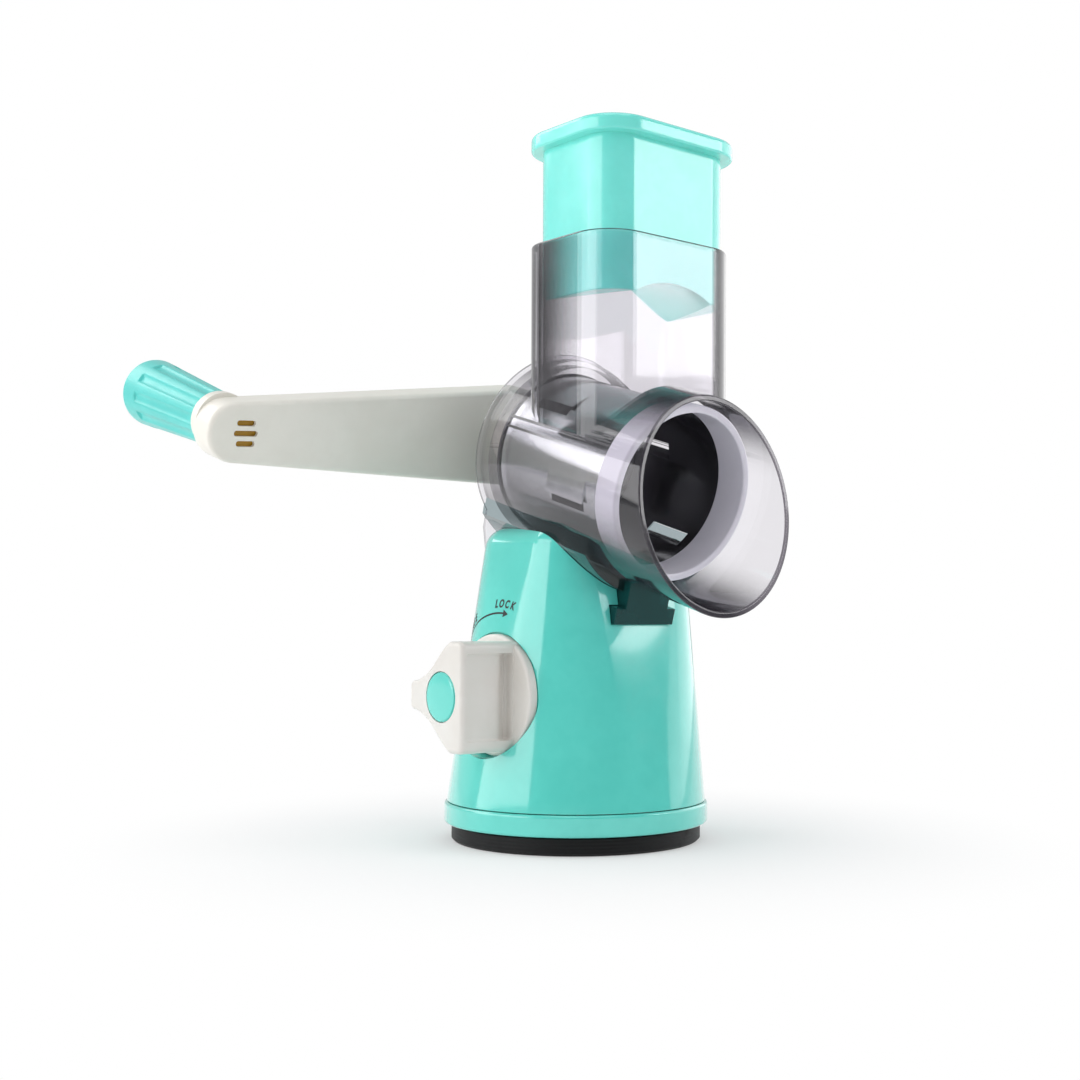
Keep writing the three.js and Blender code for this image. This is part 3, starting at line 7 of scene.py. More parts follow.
import json
import logging
import math
from dataclasses import dataclass, field
from enum import Enum, IntEnum
from typing import Any, Callable, Iterable, Sequence

import bmesh
import bpy
from mathutils import Matrix, Vector
from mathutils.bvhtree import BVHTree

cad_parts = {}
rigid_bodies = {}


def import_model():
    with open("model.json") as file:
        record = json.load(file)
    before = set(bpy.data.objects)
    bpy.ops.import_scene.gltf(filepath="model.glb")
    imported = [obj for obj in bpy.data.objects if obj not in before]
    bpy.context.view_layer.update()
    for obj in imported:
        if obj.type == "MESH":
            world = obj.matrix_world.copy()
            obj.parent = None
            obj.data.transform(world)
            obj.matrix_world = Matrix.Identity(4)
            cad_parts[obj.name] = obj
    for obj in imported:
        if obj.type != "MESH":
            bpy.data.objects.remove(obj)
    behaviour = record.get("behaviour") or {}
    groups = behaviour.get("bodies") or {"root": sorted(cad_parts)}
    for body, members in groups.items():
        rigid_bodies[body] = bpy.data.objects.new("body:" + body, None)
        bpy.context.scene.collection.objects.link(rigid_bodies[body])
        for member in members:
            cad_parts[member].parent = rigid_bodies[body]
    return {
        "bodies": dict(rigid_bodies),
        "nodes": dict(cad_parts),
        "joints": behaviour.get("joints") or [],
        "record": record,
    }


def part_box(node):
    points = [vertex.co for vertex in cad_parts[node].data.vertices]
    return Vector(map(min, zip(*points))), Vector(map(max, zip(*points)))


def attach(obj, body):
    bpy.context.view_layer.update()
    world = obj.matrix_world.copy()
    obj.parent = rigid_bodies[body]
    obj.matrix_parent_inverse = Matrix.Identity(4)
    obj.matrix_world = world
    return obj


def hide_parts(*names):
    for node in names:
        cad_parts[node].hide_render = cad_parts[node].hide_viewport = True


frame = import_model()

log = logging.getLogger("grater")

MM = 0.001
FINE = 160  # facets of a large turned form
MEDIUM = 96
SMALL = 48
TINY = 24
CLEAR = 1.0  # how far a cutting form runs past the face it opens
GAP = 0.3  # between pieces that touch
FAR = 400.0  # beyond every piece
NEAR = 1e-6  # lengths below this count as nothing
HAIR = 0.02  # keeps faces that nearly coincide apart
CRANK_ANGLE = 3.7  # degrees between the arm at rest and the drum's own level

Point = tuple[float, float]
Outline = list[Point]
Colour = tuple[float, float, float]
FlatMark = tuple[list[Point], list[list[int]]]


# ---------------------------------------------------------------- outlines


class Axis(Enum):
    """The direction that an outline is extruded along or turned about."""

    X = "X"
    Y = "Y"
    Z = "Z"

    def place(self, u: float, v: float, w: float) -> Vector:
        """Point of an outline.

        Args:
            u: First coordinate in the outline's plane.
            v: Second coordinate in the outline's plane.
            w: Distance along the axis.

        Returns:
            The point.
        """
        if self is Axis.X:
            return Vector((w, u, v))
        return Vector((u, w, v)) if self is Axis.Y else Vector((u, v, w))


def shares(count: int) -> list[float]:
    """Even steps from 0 to 1, both ends included."""
    return [k / count for k in range(count + 1)]


def mix(a: float, b: float, share: float) -> float:
    """Value between a and b."""
    return a + (b - a) * share


def arc(centre: Point, radius: float, start: float, end: float, steps: int) -> Outline:
    """Points along a circle.

    Args:
        centre: Middle of the circle.
        radius: Its radius.
        start: First angle, in degrees.
        end: Last angle, in degrees.
        steps: Number of chords.

    Returns:
        The points, both ends included.
    """
    angles = [math.radians(mix(start, end, share)) for share in shares(steps)]
    return [(centre[0] + radius * math.cos(a), centre[1] + radius * math.sin(a)) for a in angles]


def bezier(a: Point, b: Point, c: Point, d: Point, steps: int = 24) -> Outline:
    """Points along a cubic curve.

    Args:
        a: Start.
        b: First pull point.
        c: Second pull point.
        d: End.
        steps: Number of chords.

    Returns:
        The points, both ends included.
    """
    points = []
    for t in shares(steps):
        weights = ((1 - t) ** 3, 3 * t * (1 - t) ** 2, 3 * t * t * (1 - t), t**3)
        points.append(tuple(sum(w * p[k] for w, p in zip(weights, (a, b, c, d))) for k in (0, 1)))
    return points


def rounded_rectangle(
    width: float, depth: float, corner: float, centre: Point = (0, 0), steps: int = 20
) -> Outline:
    """Plan of a rectangle with round corners.

    Args:
        width: Size along the first axis.
        depth: Size along the second axis.
        corner: Radius of its corners.
        centre: Its middle.
        steps: Chords per corner.

    Returns:
        A closed outline, counter-clockwise.
    """
    x, y = width / 2 - corner, depth / 2 - corner
    points: Outline = []
    for quarter, (sx, sy) in enumerate(((1, 1), (-1, 1), (-1, -1), (1, -1))):
        middle = (centre[0] + sx * x, centre[1] + sy * y)
        points += arc(middle, corner, 90 * quarter, 90 * quarter + 90, steps)
    return points


def filleted(
    corners: Sequence[Point], radii: Sequence[float] | float, steps: int = 6, longest: float = 0.45
) -> Outline:
    """Closed outline whose corners are rounded off.

    Args:
        corners: Points of the sharp outline.
        radii: Rounding of every corner, or one for all.
        steps: Chords per corner.
        longest: Most of a side that one rounding may take.

    Returns:
        The rounded outline.
    """
    count = len(corners)
    sizes = [radii] * count if isinstance(radii, (int, float)) else list(radii)
    points: Outline = []
    for k, corner in enumerate(corners):
        here = Vector(corner)
        before = Vector(corners[k - 1]) - here
        after = Vector(corners[(k + 1) % count]) - here
        if sizes[k] <= 0 or min(before.length, after.length) < NEAR:
            points.append(tuple(here))
            continue
        half = before.angle(after) / 2
        reach = min(sizes[k] / math.tan(half), longest * before.length, longest * after.length)
        start, end = here + before.normalized() * reach, here + after.normalized() * reach
        for t in shares(steps):
            bend = start * (1 - t) ** 2 + here * 2 * t * (1 - t) + end * t * t
            points.append(tuple(bend))
    return points


def shrunk(outline: Outline, distance: float, least_lean: float = 0.3) -> Outline:
    """Counter-clockwise outline drawn in by a distance.

    Args:
        outline: The closed outline.
        distance: How far each side moves inward.
        least_lean: Keeps a very sharp corner from running off.

    Returns:
        An outline with as many points.
    """
    moved: Outline = []
    count = len(outline)
    for k, point in enumerate(outline):
        ahead, behind = k, k
        here = Vector(point)
        while (Vector(outline[(ahead + 1) % count]) - here).length < NEAR and ahead < k + count:
            ahead += 1
        while (Vector(outline[(behind - 1) % count]) - here).length < NEAR and behind > k - count:
            behind -= 1
        before = (here - Vector(outline[(behind - 1) % count])).normalized()
        after = (Vector(outline[(ahead + 1) % count]) - here).normalized()
        normal = Vector((-before.y - after.y, before.x + after.x)).normalized()
        lean = max(least_lean, normal.dot(Vector((-after.y, after.x))))
        moved.append(tuple(here + normal * (distance / lean)))
    return moved


# ---------------------------------------------------------------- solids


class Joining(Enum):
    """How two solids become one."""

    UNION = "UNION"
    CUT = "DIFFERENCE"
    SHARED = "INTERSECT"


def meshed(work: bmesh.types.BMesh, name: str = "form") -> bpy.types.Mesh:
    """Mesh taken from a work mesh, which is freed.

    Args:
        work: The work mesh.
        name: The mesh's name.

    Returns:
        The mesh.
    """
    mesh = bpy.data.meshes.new(name)
    work.to_mesh(mesh)
    work.free()
    return mesh


class Form:
    """A closed solid in millimetres, which adds to, cuts and trims other solids."""

    def __init__(self, mesh: bpy.types.Mesh) -> None:
        """Keep the mesh of the solid."""
        self.mesh = mesh

    @classmethod
    def from_faces(cls, points: Sequence[Vector], faces: Sequence[Sequence[int]]) -> "Form":
        """Closed solid from points and faces, whatever way the faces turn.

        Args:
            points: Corners of the faces.
            faces: Loops of indices into points.

        Returns:
            The solid, with its faces outward.
        """
        work = bmesh.new()
        corners = [work.verts.new(p) for p in points]
        for loop in faces:
            work.faces.new([corners[k] for k in loop])
        bmesh.ops.remove_doubles(work, verts=work.verts[:], dist=1e-5)
        bmesh.ops.recalc_face_normals(work, faces=work.faces[:])
        if work.calc_volume(signed=True) < 0:
            bmesh.ops.reverse_faces(work, faces=work.faces[:])
        return cls(meshed(work))

    @classmethod
    def loft(cls, rings: Sequence[Sequence[Vector]]) -> "Form":
        """Solid through rings of equally many points, closed at both ends.

        Args:
            rings: The rings, from one end to the other.

        Returns:
            The solid.
        """
        count = len(rings[0])
        faces: list[list[int]] = []
        for ring in range(len(rings) - 1):
            base = ring * count
            for k in range(count):
                ahead = (k + 1) % count
                faces.append([base + k, base + ahead, base + count + ahead, base + count + k])
        last = (len(rings) - 1) * count
        faces.append(list(range(count))[::-1])
        faces.append([last + k for k in range(count)])
        return cls.from_faces([p for ring in rings for p in ring], faces)

    @classmethod
    def lathe(cls, profile: Sequence[Point], axis: Axis, facets: int = FINE) -> "Form":
        """Closed profile turned about an axis.

        Args:
            profile: Pairs of radius and place along the axis.
            axis: What it turns about.
            facets: Number of chords round it.

        Returns:
            The solid.
        """
        points: list[Vector] = []
        rings: list[list[int]] = []
        for radius, place in profile:
            if radius < NEAR:
                rings.append([len(points)] * facets)
                points.append(axis.place(0, 0, place))
                continue
            rings.append(list(range(len(points), len(points) + facets)))
            for k in range(facets):
                turn = 2 * math.pi * k / facets
                points.append(axis.place(radius * math.cos(turn), radius * math.sin(turn), place))
        faces: list[list[int]] = []
        for k, ring in enumerate(rings):
            following = rings[(k + 1) % len(rings)]
            for n in range(facets):
                ahead = (n + 1) % facets
                loop = list(dict.fromkeys([ring[n], ring[ahead], following[ahead], following[n]]))
                if len(loop) > 2:
                    faces.append(loop)
        return cls.from_faces(points, faces)

    @classmethod
    def prism(
        cls, outline: Outline, low: float, high: float, axis: Axis, low_edge: float = 0, high_edge: float = 0
    ) -> "Form":
        """Outline extruded along an axis, with its rims rounded over.

        Args:
            outline: Counter-clockwise outline.
            low: Where it starts.
            high: Where it ends.
            axis: What it runs along.
            low_edge: Rounding at its start.
            high_edge: Rounding at its end.

        Returns:
            The solid.
        """
        sections: list[tuple[float, float]] = []
        quarter = [math.radians(90 * share) for share in shares(5)]
        for angle in quarter if low_edge else quarter[-1:]:
            sections.append((low_edge * (1 - math.sin(angle)), low + low_edge * (1 - math.cos(angle))))
        for angle in quarter[::-1] if high_edge else quarter[-1:]:
            sections.append((high_edge * (1 - math.sin(angle)), high - high_edge * (1 - math.cos(angle))))
        rings = []
        for inset, place in sections:
            ring = shrunk(outline, inset) if inset > NEAR else outline
            rings.append([axis.place(u, v, place) for u, v in ring])
        return cls.loft(rings)

    @classmethod
    def rod(
        cls,
        radius: float,
        low: float,
        high: float,
        axis: Axis,
        facets: int = MEDIUM,
        edges: tuple[float, float] = (0.0, 0.0),
        steps: int = 4,
    ) -> "Form":
        """Round bar between two places along an axis, with its rims rounded over.

        Args:
            radius: Its radius.
            low: Where it starts.
            high: Where it ends.
            axis: What it runs along.
            facets: Number of chords round it.
            edges: Rounding at its start and at its end.
            steps: Chords across a rounding.

        Returns:
            The solid.
        """
        profile = [(0, low), (radius, low), (radius, high), (0, high)]
        if any(edges):
            profile = filleted(profile, [0, *edges, 0], steps)
        return cls.lathe(profile, axis, facets)

    @classmethod
    def well(cls, plan: Outline, low: float, top: float, lip: float, turns: Sequence[float]) -> "Form":
        """Upright well whose mouth opens out in a quarter round.

        Args:
            plan: Its plan below the lip.
            low: Its floor.
            top: The face that it opens in.
            lip: Radius of the quarter round.
            turns: Angles of the round's steps, in degrees, up to 90.

        Returns:
            The solid to cut away.
        """
        flare = [(0.0, low), (0.0, top - lip)]
        for turn in map(math.radians, turns):
            flare.append((lip * (1 - math.cos(turn)), top - lip + lip * math.sin(turn)))
        flare.append((lip, top + CLEAR))
        return cls.loft([[Vector((u, v, z)) for u, v in shrunk(plan, -out)] for out, z in flare])

    @classmethod
    def block(cls, x: Point, y: Point, z: Point) -> "Form":
        """Rectangular block between two corners."""
        return cls.prism([(x[0], y[0]), (x[1], y[0]), (x[1], y[1]), (x[0], y[1])], z[0], z[1], Axis.Z)

    def _joined(self, other: "Form", joining: Joining) -> "Form":
        """Solid made from this one and another.

        Args:
            other: The second solid.
            joining: How the second one acts on the first.

        Returns:
            The result.
        """
        holders = [bpy.data.objects.new("holder", form.mesh) for form in (self, other)]
        for holder in holders:
            bpy.context.scene.collection.objects.link(holder)
        cut = holders[0].modifiers.new("join", "BOOLEAN")
        cut.operation, cut.solver, cut.object = joining.value, "MANIFOLD", holders[1]
        shown = holders[0].evaluated_get(bpy.context.evaluated_depsgraph_get())
        mesh = bpy.data.meshes.new_from_object(shown)
        for holder in holders:
            bpy.data.objects.remove(holder)
        return Form(mesh)

    def __add__(self, other: "Form") -> "Form":
        """Both solids as one."""
        return self._joined(other, Joining.UNION)

    def __sub__(self, other: "Form") -> "Form":
        """This solid with the other cut away."""
        return self._joined(other, Joining.CUT)

    def __and__(self, other: "Form") -> "Form":
        """What both solids share."""
        return self._joined(other, Joining.SHARED)

    def moved(self, matrix: Matrix) -> "Form":
        """Copy of the solid in another place.

        Args:
            matrix: How it moves.

        Returns:
            The copy.
        """
        mesh = self.mesh.copy()
        mesh.transform(matrix)
        return Form(mesh)

    def softened(self, width: float, chosen: Callable[[Vector], bool], steps: int = 3, sharp: float = 35) -> "Form":
        """Copy whose sharp edges are rounded where both their ends are chosen.

        Args:
            width: Size of the rounding.
            chosen: Tells whether a point lies on an edge to round.
            steps: Faces across the rounding.
            sharp: Least angle of an edge to round, in degrees.

        Returns:
            The rounded solid.
        """
        work = bmesh.new()
        work.from_mesh(self.mesh)
        bmesh.ops.remove_doubles(work, verts=work.verts[:], dist=1e-3)
        least = math.radians(sharp)
        edges = [
            e
            for e in work.edges
            if e.is_manifold and e.calc_face_angle(0) > least and all(chosen(v.co) for v in e.verts)
        ]
        bmesh.ops.bevel(work, geom=edges, offset=width, segments=steps, profile=0.5, affect="EDGES", clamp_overlap=True)
        return Form(meshed(work))


def union(forms: Iterable[Form]) -> Form:
    """All the solids as one.

    Args:
        forms: The solids.

    Returns:
        What they make together.
    """
    whole, *others = forms
    for form in others:
        whole = whole + form
    return whole


def reduced(form: Form, cuts: Iterable[Form]) -> Form:
    """The solid with every cut made in it.

    Args:
        form: The solid.
        cuts: What is cut away.

    Returns:
        What is left.
    """
    for cut in cuts:
        form = form - cut
    return form


def turned(degrees: float, axis: Axis) -> Matrix:
    """Rotation about an axis through the origin."""
    return Matrix.Rotation(math.radians(degrees), 4, axis.value)


def shifted(x: float, y: float, z: float) -> Matrix:
    """Move by three distances."""
    return Matrix.Translation((x, y, z))


# ---------------------------------------------------------------- shaders


class Signal:
    """A shader socket that adds Math nodes when it is used in an expression."""

    def __init__(self, shader: "Shader", socket: bpy.types.NodeSocket) -> None:
        """Wrap the socket of a node in a shader."""
        self.shader = shader
        self.socket = socket

    def _maths(self, operation: str, *values: Any, clamp: bool = False) -> "Signal":
        """Result of one Math node on the values."""
        return self.shader.node("ShaderNodeMath", {"operation": operation, "use_clamp": clamp}, dict(enumerate(values)))

    def __add__(self, other: Any) -> "Signal":
        """Sum."""
        return self._maths("ADD", self, other)

    def __sub__(self, other: Any) -> "Signal":
        """Difference."""
        return self._maths("SUBTRACT", self, other)

    def __mul__(self, other: Any) -> "Signal":
        """Product."""
        return self._maths("MULTIPLY", self, other)

    __radd__ = __add__
    __rmul__ = __mul__

    def __rsub__(self, other: Any) -> "Signal":
        """Difference from a number."""
        return self._maths("SUBTRACT", other, self)

    def __pow__(self, other: Any) -> "Signal":
        """Power."""
        return self._maths("POWER", self, other)

    def clamped(self) -> "Signal":
        """The signal kept between 0 and 1."""
        return self._maths("ADD", self, 0.0, clamp=True)

    def stepped(self, low: float, high: float) -> "Signal":
        """Smooth rise from 0 at low to 1 at high."""
        settings, limits = {"interpolation_type": "SMOOTHSTEP"}, {"Value": self, "From Min": low, "From Max": high}
        return self.shader.node("ShaderNodeMapRange", settings, limits)


class Shader:
    """The node tree of one material or of the world, built by expressions."""

    def __init__(self, owner: bpy.types.Material | bpy.types.World) -> None:
        """Start with an empty tree.

        Args:
            owner: What the tree belongs to.
        """
        self.owner = owner
        owner.use_nodes = True
        self.tree = owner.node_tree
        self.tree.nodes.clear()

    @classmethod
    def named(cls, name: str) -> "Shader":
        """Shader of a new material."""
        return cls(bpy.data.materials.new(name))

    def node(self, kind: str, settings: dict[str, Any], inputs: dict[Any, Any], output: int | str = 0) -> Signal:
        """Add one node.

        Args:
            kind: The node's type.
            settings: Its own options, set before its sockets.
            inputs: Values or signals by socket name or number.
            output: The socket to hand back.

        Returns:
            That output as a signal.
        """
        made = self.tree.nodes.new(kind)
        for option, value in settings.items():
            setattr(made, option, value)
        for key, value in inputs.items():
            socket = made.inputs[key]
            if isinstance(value, Signal):
                self.tree.links.new(value.socket, socket)
            else:
                socket.default_value = value
        return Signal(self, made.outputs[output])

    def place(self, stretch: Colour = (1, 1, 1), turn: Colour = (0, 0, 0)) -> Signal:
        """Position on the piece, in metres, turned and stretched.

        Args:
            stretch: Scale of each axis.
            turn: Rotation in degrees.

        Returns:
            The position as a vector signal.
        """
        here = self.node("ShaderNodeTexCoord", {}, {}, "Object")
        angles = tuple(math.radians(a) for a in turn)
        return self.node("ShaderNodeMapping", {}, {"Vector": here, "Rotation": angles, "Scale": stretch})

    def noise(self, scale: float, detail: float = 3, where: Signal | None = None) -> Signal:
        """Soft random pattern, with features about 1 / scale metres wide."""
        inputs = {"Vector": where or self.place(), "Scale": scale, "Detail": detail, "Roughness": 0.55}
        return self.node("ShaderNodeTexNoise", {}, inputs)

    def blend(self, factor: Signal | float, first: Any, second: Any) -> Signal:
        """Colour between two colours.

        Args:
            factor: Share of the second.
            first: Colour or signal.
            second: Colour or signal.

        Returns:
            The mixed colour.
        """
        colours = [c if isinstance(c, Signal) else (*c, 1) for c in (first, second)]
        inputs = {0: factor, 6: colours[0], 7: colours[1]}
        return self.node("ShaderNodeMix", {"data_type": "RGBA"}, inputs, 2)

    def bump(self, height: Signal, depth: float, strength: float = 1.0) -> Signal:
        """Normal that follows a height.

        Args:
            height: The height, 0 to 1.
            depth: Depth of the relief, in metres.
            strength: How much of it shows.

        Returns:
            The normal.
        """
        return self.node("ShaderNodeBump", {}, {"Height": height, "Distance": depth, "Strength": strength})

    def ray(self, *kinds: str) -> Signal:
        """1 where the ray is of one of the kinds, such as Camera or Glossy."""
        return sum(self.node("ShaderNodeLightPath", {}, {}, f"Is {kind} Ray") for kind in kinds).clamped()

    def finish(self, surface: Signal, output: str = "ShaderNodeOutputMaterial") -> Any:
        """Send a surface to the output.

        Args:
            surface: The surface.
            output: Type of the output node.

        Returns:
            The owner of the tree.
        """
        end = self.tree.nodes.new(output)
        self.tree.links.new(surface.socket, end.inputs["Surface"])
        return self.owner


def srgb(code: str) -> Colour:
    """Linear colour of a six-digit code."""
    parts = [int(code[k : k + 2], 16) / 255 for k in (0, 2, 4)]
    return tuple(p / 12.92 if p <= 0.04045 else ((p + 0.055) / 1.055) ** 2.4 for p in parts)


@dataclass(frozen=True)
class MouldedPlastic:
    """Opaque moulded plastic with a faint flow mottle and a soft grain."""

    name: str
    colour: Colour
    shade: Colour
    roughness: float = 0.22
    grain: float = 0.000012
    grain_scale: float = 1900
    coat: float = 0.0
    glow: float = 0.0

    def material(self) -> bpy.types.Material:
        """Build the material.

        Returns:
            The finished material.
        """
        shader = Shader.named(self.name)
        flow = shader.noise(28, 4).stepped(0.35, 0.68)
        cloud = shader.noise(140, 3).stepped(0.4, 0.7)
        tint = shader.blend(flow * 0.7, self.colour, self.shade)
        tint = shader.blend(cloud * 0.25, tint, self.shade)
        handling = shader.noise(75, 5).stepped(0.48, 0.72)
        rough = self.roughness + handling * 0.07 + cloud * 0.025
        fine = shader.noise(self.grain_scale, 2)
        waves = shader.noise(110, 2)
        normal = shader.bump(fine * 0.45 + waves * 0.55, self.grain * 3)
        inputs = {
            "Base Color": tint,
            "Roughness": rough,
            "Normal": normal,
            "IOR": 1.49,
            "Coat Weight": self.coat,
            "Coat Roughness": 0.06,
            "Subsurface Weight": self.glow,
            "Subsurface Radius": (0.5, 1.0, 0.9),
            "Subsurface Scale": 0.004,
        }
        return shader.finish(shader.node("ShaderNodeBsdfPrincipled", {}, inputs))


@dataclass(frozen=True)
class ClearPlastic:
    """Thin clear plastic with a smoky tint that gathers where the wall turns away, and, where a finish asks for it, a
    painted dark reflection on one flank.
    """

    name: str
    tint: Colour
    smoke_and_painted_flank: Colour
    haze: float = 0.03
    edge: float = 0.92
    turned_away: tuple[float, float] = (0.32, 0.76)
    # strength of the painted dark reflection on the hopper's flank
    painted_dark_flank: float = 0.0
    polish: float = 0.035
    bending: float = 1.5

    def material(self) -> bpy.types.Material:
        """Build the material.

        Returns:
            The finished material.
        """
        shader = Shader.named(self.name)
        waves = shader.noise(22, 2)
        scuffs = shader.noise(900, 2, shader.place((1, 1, 0.12))).stepped(0.62, 0.8)
        normal = shader.bump(waves, 0.00004)
        facing = shader.node("ShaderNodeLayerWeight", {}, {"Blend": 0.5, "Normal": normal}, "Facing")
        lit = 1.0 - shader.ray("Shadow", "Diffuse") * 0.85
        smoke_and_painted_flank = self.haze + facing.stepped(*self.turned_away) * self.edge + scuffs * 0.015
        # painted dark reflection: darkening added by position on the crank's side of the hopper
        if self.painted_dark_flank:
            smoke_and_painted_flank = smoke_and_painted_flank + self._painted_dark_flank_mask(shader) * self.painted_dark_flank
        thick = smoke_and_painted_flank.clamped() * lit
        through = shader.node("ShaderNodeBsdfTransparent", {}, {"Color": (*self.tint, 1)})
        stained = shader.blend(waves.stepped(0.4, 0.7) * 0.04, self.smoke_and_painted_flank, self.tint)
        inputs = {"Base Color": stained, "Roughness": 0.12 + scuffs * 0.1, "Normal": normal, "IOR": self.bending}
        wall = shader.node("ShaderNodeBsdfPrincipled", {}, inputs)
        mixed = shader.node("ShaderNodeMixShader", {}, {0: thick, 1: through, 2: wall})
        inputs = {"Color": (1, 1, 1, 1), "Roughness": 0.04, "Normal": normal}
        gloss = shader.node("ShaderNodeBsdfAnisotropic", {}, inputs)
        shine = (self.polish + facing**5 * 0.7).clamped() * lit
        return shader.finish(shader.node("ShaderNodeMixShader", {}, {0: shine, 1: mixed, 2: gloss}))

    @staticmethod
    def _painted_dark_flank_mask(shader: Shader) -> Signal:
        """Painted dark reflection: darkening painted towards the back of the outer wall on the crank's side.

        Args:
            shader: The material's tree.

        Returns:
            How strong the painted darkening is, 0 to 1.
        """
        normal = shader.node("ShaderNodeTexCoord", {}, {}, "Normal")
        outward = shader.node("ShaderNodeSeparateXYZ", {}, {0: normal}, "X") * -1.0
        here = shader.place()
        across = shader.node("ShaderNodeSeparateXYZ", {}, {0: here}, "X") * -1.0
        along = shader.node("ShaderNodeSeparateXYZ", {}, {0: here}, "Y")
        return outward.stepped(0.5, 0.9) * across.stepped(0.0, 0.02) * along.stepped(-0.05, -0.012)


@dataclass(frozen=True)
class BrushedSteel:
    """Bright sheet steel with fine lines round the drum."""

    name: str
    colour: Colour
    lines: Colour = (60.0, 4200.0, 60.0)
    turn: Colour = (-16.0, 0.0, 0.0)
    roughness: float = 0.1

    def material(self) -> bpy.types.Material:
        """Build the material.

        Returns:
            The finished material.
        """
        shader = Shader.named(self.name)
        where = shader.place(self.lines, self.turn)
        lines = shader.noise(1.0, 4, where)
        smudge = shader.noise(55, 4).stepped(0.45, 0.75)
        tone = tuple(c * 0.86 for c in self.colour)
        tint = shader.blend(lines.stepped(0.3, 0.7) * 0.6, self.colour, tone)
        rough = self.roughness + lines * 0.1 + smudge * 0.06
        normal = shader.bump(lines, 0.000008, 0.6)
        inputs = {"Base Color": tint, "Metallic": 1.0, "Roughness": rough, "Normal": normal}
        return shader.finish(shader.node("ShaderNodeBsdfPrincipled", {}, inputs))


@dataclass(frozen=True)
class SoftRubber:
    """Black rubber with a dry bloom."""

    name: str
    colour: Colour
    bloom: Colour

    def material(self) -> bpy.types.Material:
        """Build the material.

        Returns:
            The finished material.
        """
        shader = Shader.named(self.name)
        dust = shader.noise(90, 6).stepped(0.5, 0.75)
        tint = shader.blend(dust * 0.5, self.colour, self.bloom)
        grain = shader.noise(2600, 2)
        rough = 0.5 + dust * 0.2
        normal = shader.bump(grain, 0.00003)
        inputs = {"Base Color": tint, "Roughness": rough, "Specular IOR Level": 0.3, "Normal": normal}
        return shader.finish(shader.node("ShaderNodeBsdfPrincipled", {}, inputs))


@dataclass(frozen=True)
class PrintedInk:
    """Thin black pad print with slightly uneven cover."""

    name: str
    colour: Colour

    def material(self) -> bpy.types.Material:
        """Build the material.

        Returns:
            The finished material.
        """
        shader = Shader.named(self.name)
        cover = shader.noise(1300, 3).stepped(0.35, 0.8)
        tint = shader.blend(cover, self.colour, tuple(c * 2.2 + 0.004 for c in self.colour))
        inputs = {"Base Color": tint, "Roughness": 0.4 + cover * 0.15}
        return shader.finish(shader.node("ShaderNodeBsdfPrincipled", {}, inputs))


@dataclass(frozen=True)
class Finishes:
    """Every finish of the grater, built once."""

    turquoise: bpy.types.Material
    pusher: bpy.types.Material
    white: bpy.types.Material
    ring: bpy.types.Material
    hub: bpy.types.Material
    arm: bpy.types.Material
    clear: bpy.types.Material
    clear_hopper: bpy.types.Material
    clear_rim: bpy.types.Material
    clear_seat: bpy.types.Material
    clear_thick: bpy.types.Material
    grip: bpy.types.Material
    drum_steel: bpy.types.Material
    steel: bpy.types.Material
    rubber: bpy.types.Material
    amber: bpy.types.Material
    ink: bpy.types.Material

    @classmethod
    def build(cls) -> "Finishes":
        """All the materials.

        Returns:
            The finishes.
        """
        return cls(
            turquoise=MouldedPlastic("turquoise_shell", srgb("62DCCF"), srgb("57D2C5"), 0.12, coat=1.0).material(),
            grip=MouldedPlastic("turquoise_grip", srgb("5CD3CC"), srgb("52C8C1"), 0.29, grain=0.000004).material(),
            # painted light: the body's turquoise made paler for how well the pusher is lit; its subsurface glow is real
            # translucency
            pusher=MouldedPlastic(
                "turquoise_pusher_painted_light", srgb("84F0E5"), srgb("78E6DA"), 0.14, coat=0.6, glow=0.25
            ).material(),
            white=MouldedPlastic("white_knob", srgb("E7E4DF"), srgb("DFDAD3"), 0.3, grain=0.00002).material(),
            ring=MouldedPlastic("white_fittings", srgb("E4E1EA"), srgb("DBD8E2"), 0.29).material(),
            # painted shade: the hub's dark grey stands in for the shade inside the drum
            hub=MouldedPlastic("painted_shade_hub", srgb("47434A"), srgb("3C393F"), 0.3).material(),
            arm=MouldedPlastic("warm_grey_arm", srgb("EFEBE2"), srgb("E8E4DA"), 0.34, grain=0.00002).material(),
            clear=ClearPlastic("clear_housing", srgb("FAF9FB"), srgb("2C2930")).material(),
            # the hopper's darker flank on the crank's side is a painted dark reflection
            clear_hopper=ClearPlastic(
                "clear_hopper", srgb("FAF9FB"), srgb("221F24"), 0.02, turned_away=(0.345, 0.5), painted_dark_flank=0.75
            ).material(),
            clear_rim=ClearPlastic("clear_rim", srgb("A9A4AC"), srgb("46424A"), 0.5, 0.4).material(),
            clear_seat=ClearPlastic("clear_seat", srgb("B9C8CA"), srgb("33474A"), 0.16, 0.7).material(),
            clear_thick=ClearPlastic(
                "clear_thick", srgb("5F9494"), srgb("17504F"), 0.62, 0.35, polish=0.008, bending=1.25
            ).material(),
            drum_steel=BrushedSteel("brushed_drum", srgb("D4D6D8")).material(),
            steel=BrushedSteel("turned_steel", srgb("C8CACC"), (900.0, 900.0, 900.0), roughness=0.28).material(),
            rubber=SoftRubber("black_rubber", srgb("08080A"), srgb("111214")).material(),
            amber=MouldedPlastic("amber_insert", srgb("B88A0C"), srgb("A57A06"), 0.35).material(),
            ink=PrintedInk("legend_ink", srgb("101416")).material(),
        )


# ---------------------------------------------------------------- places


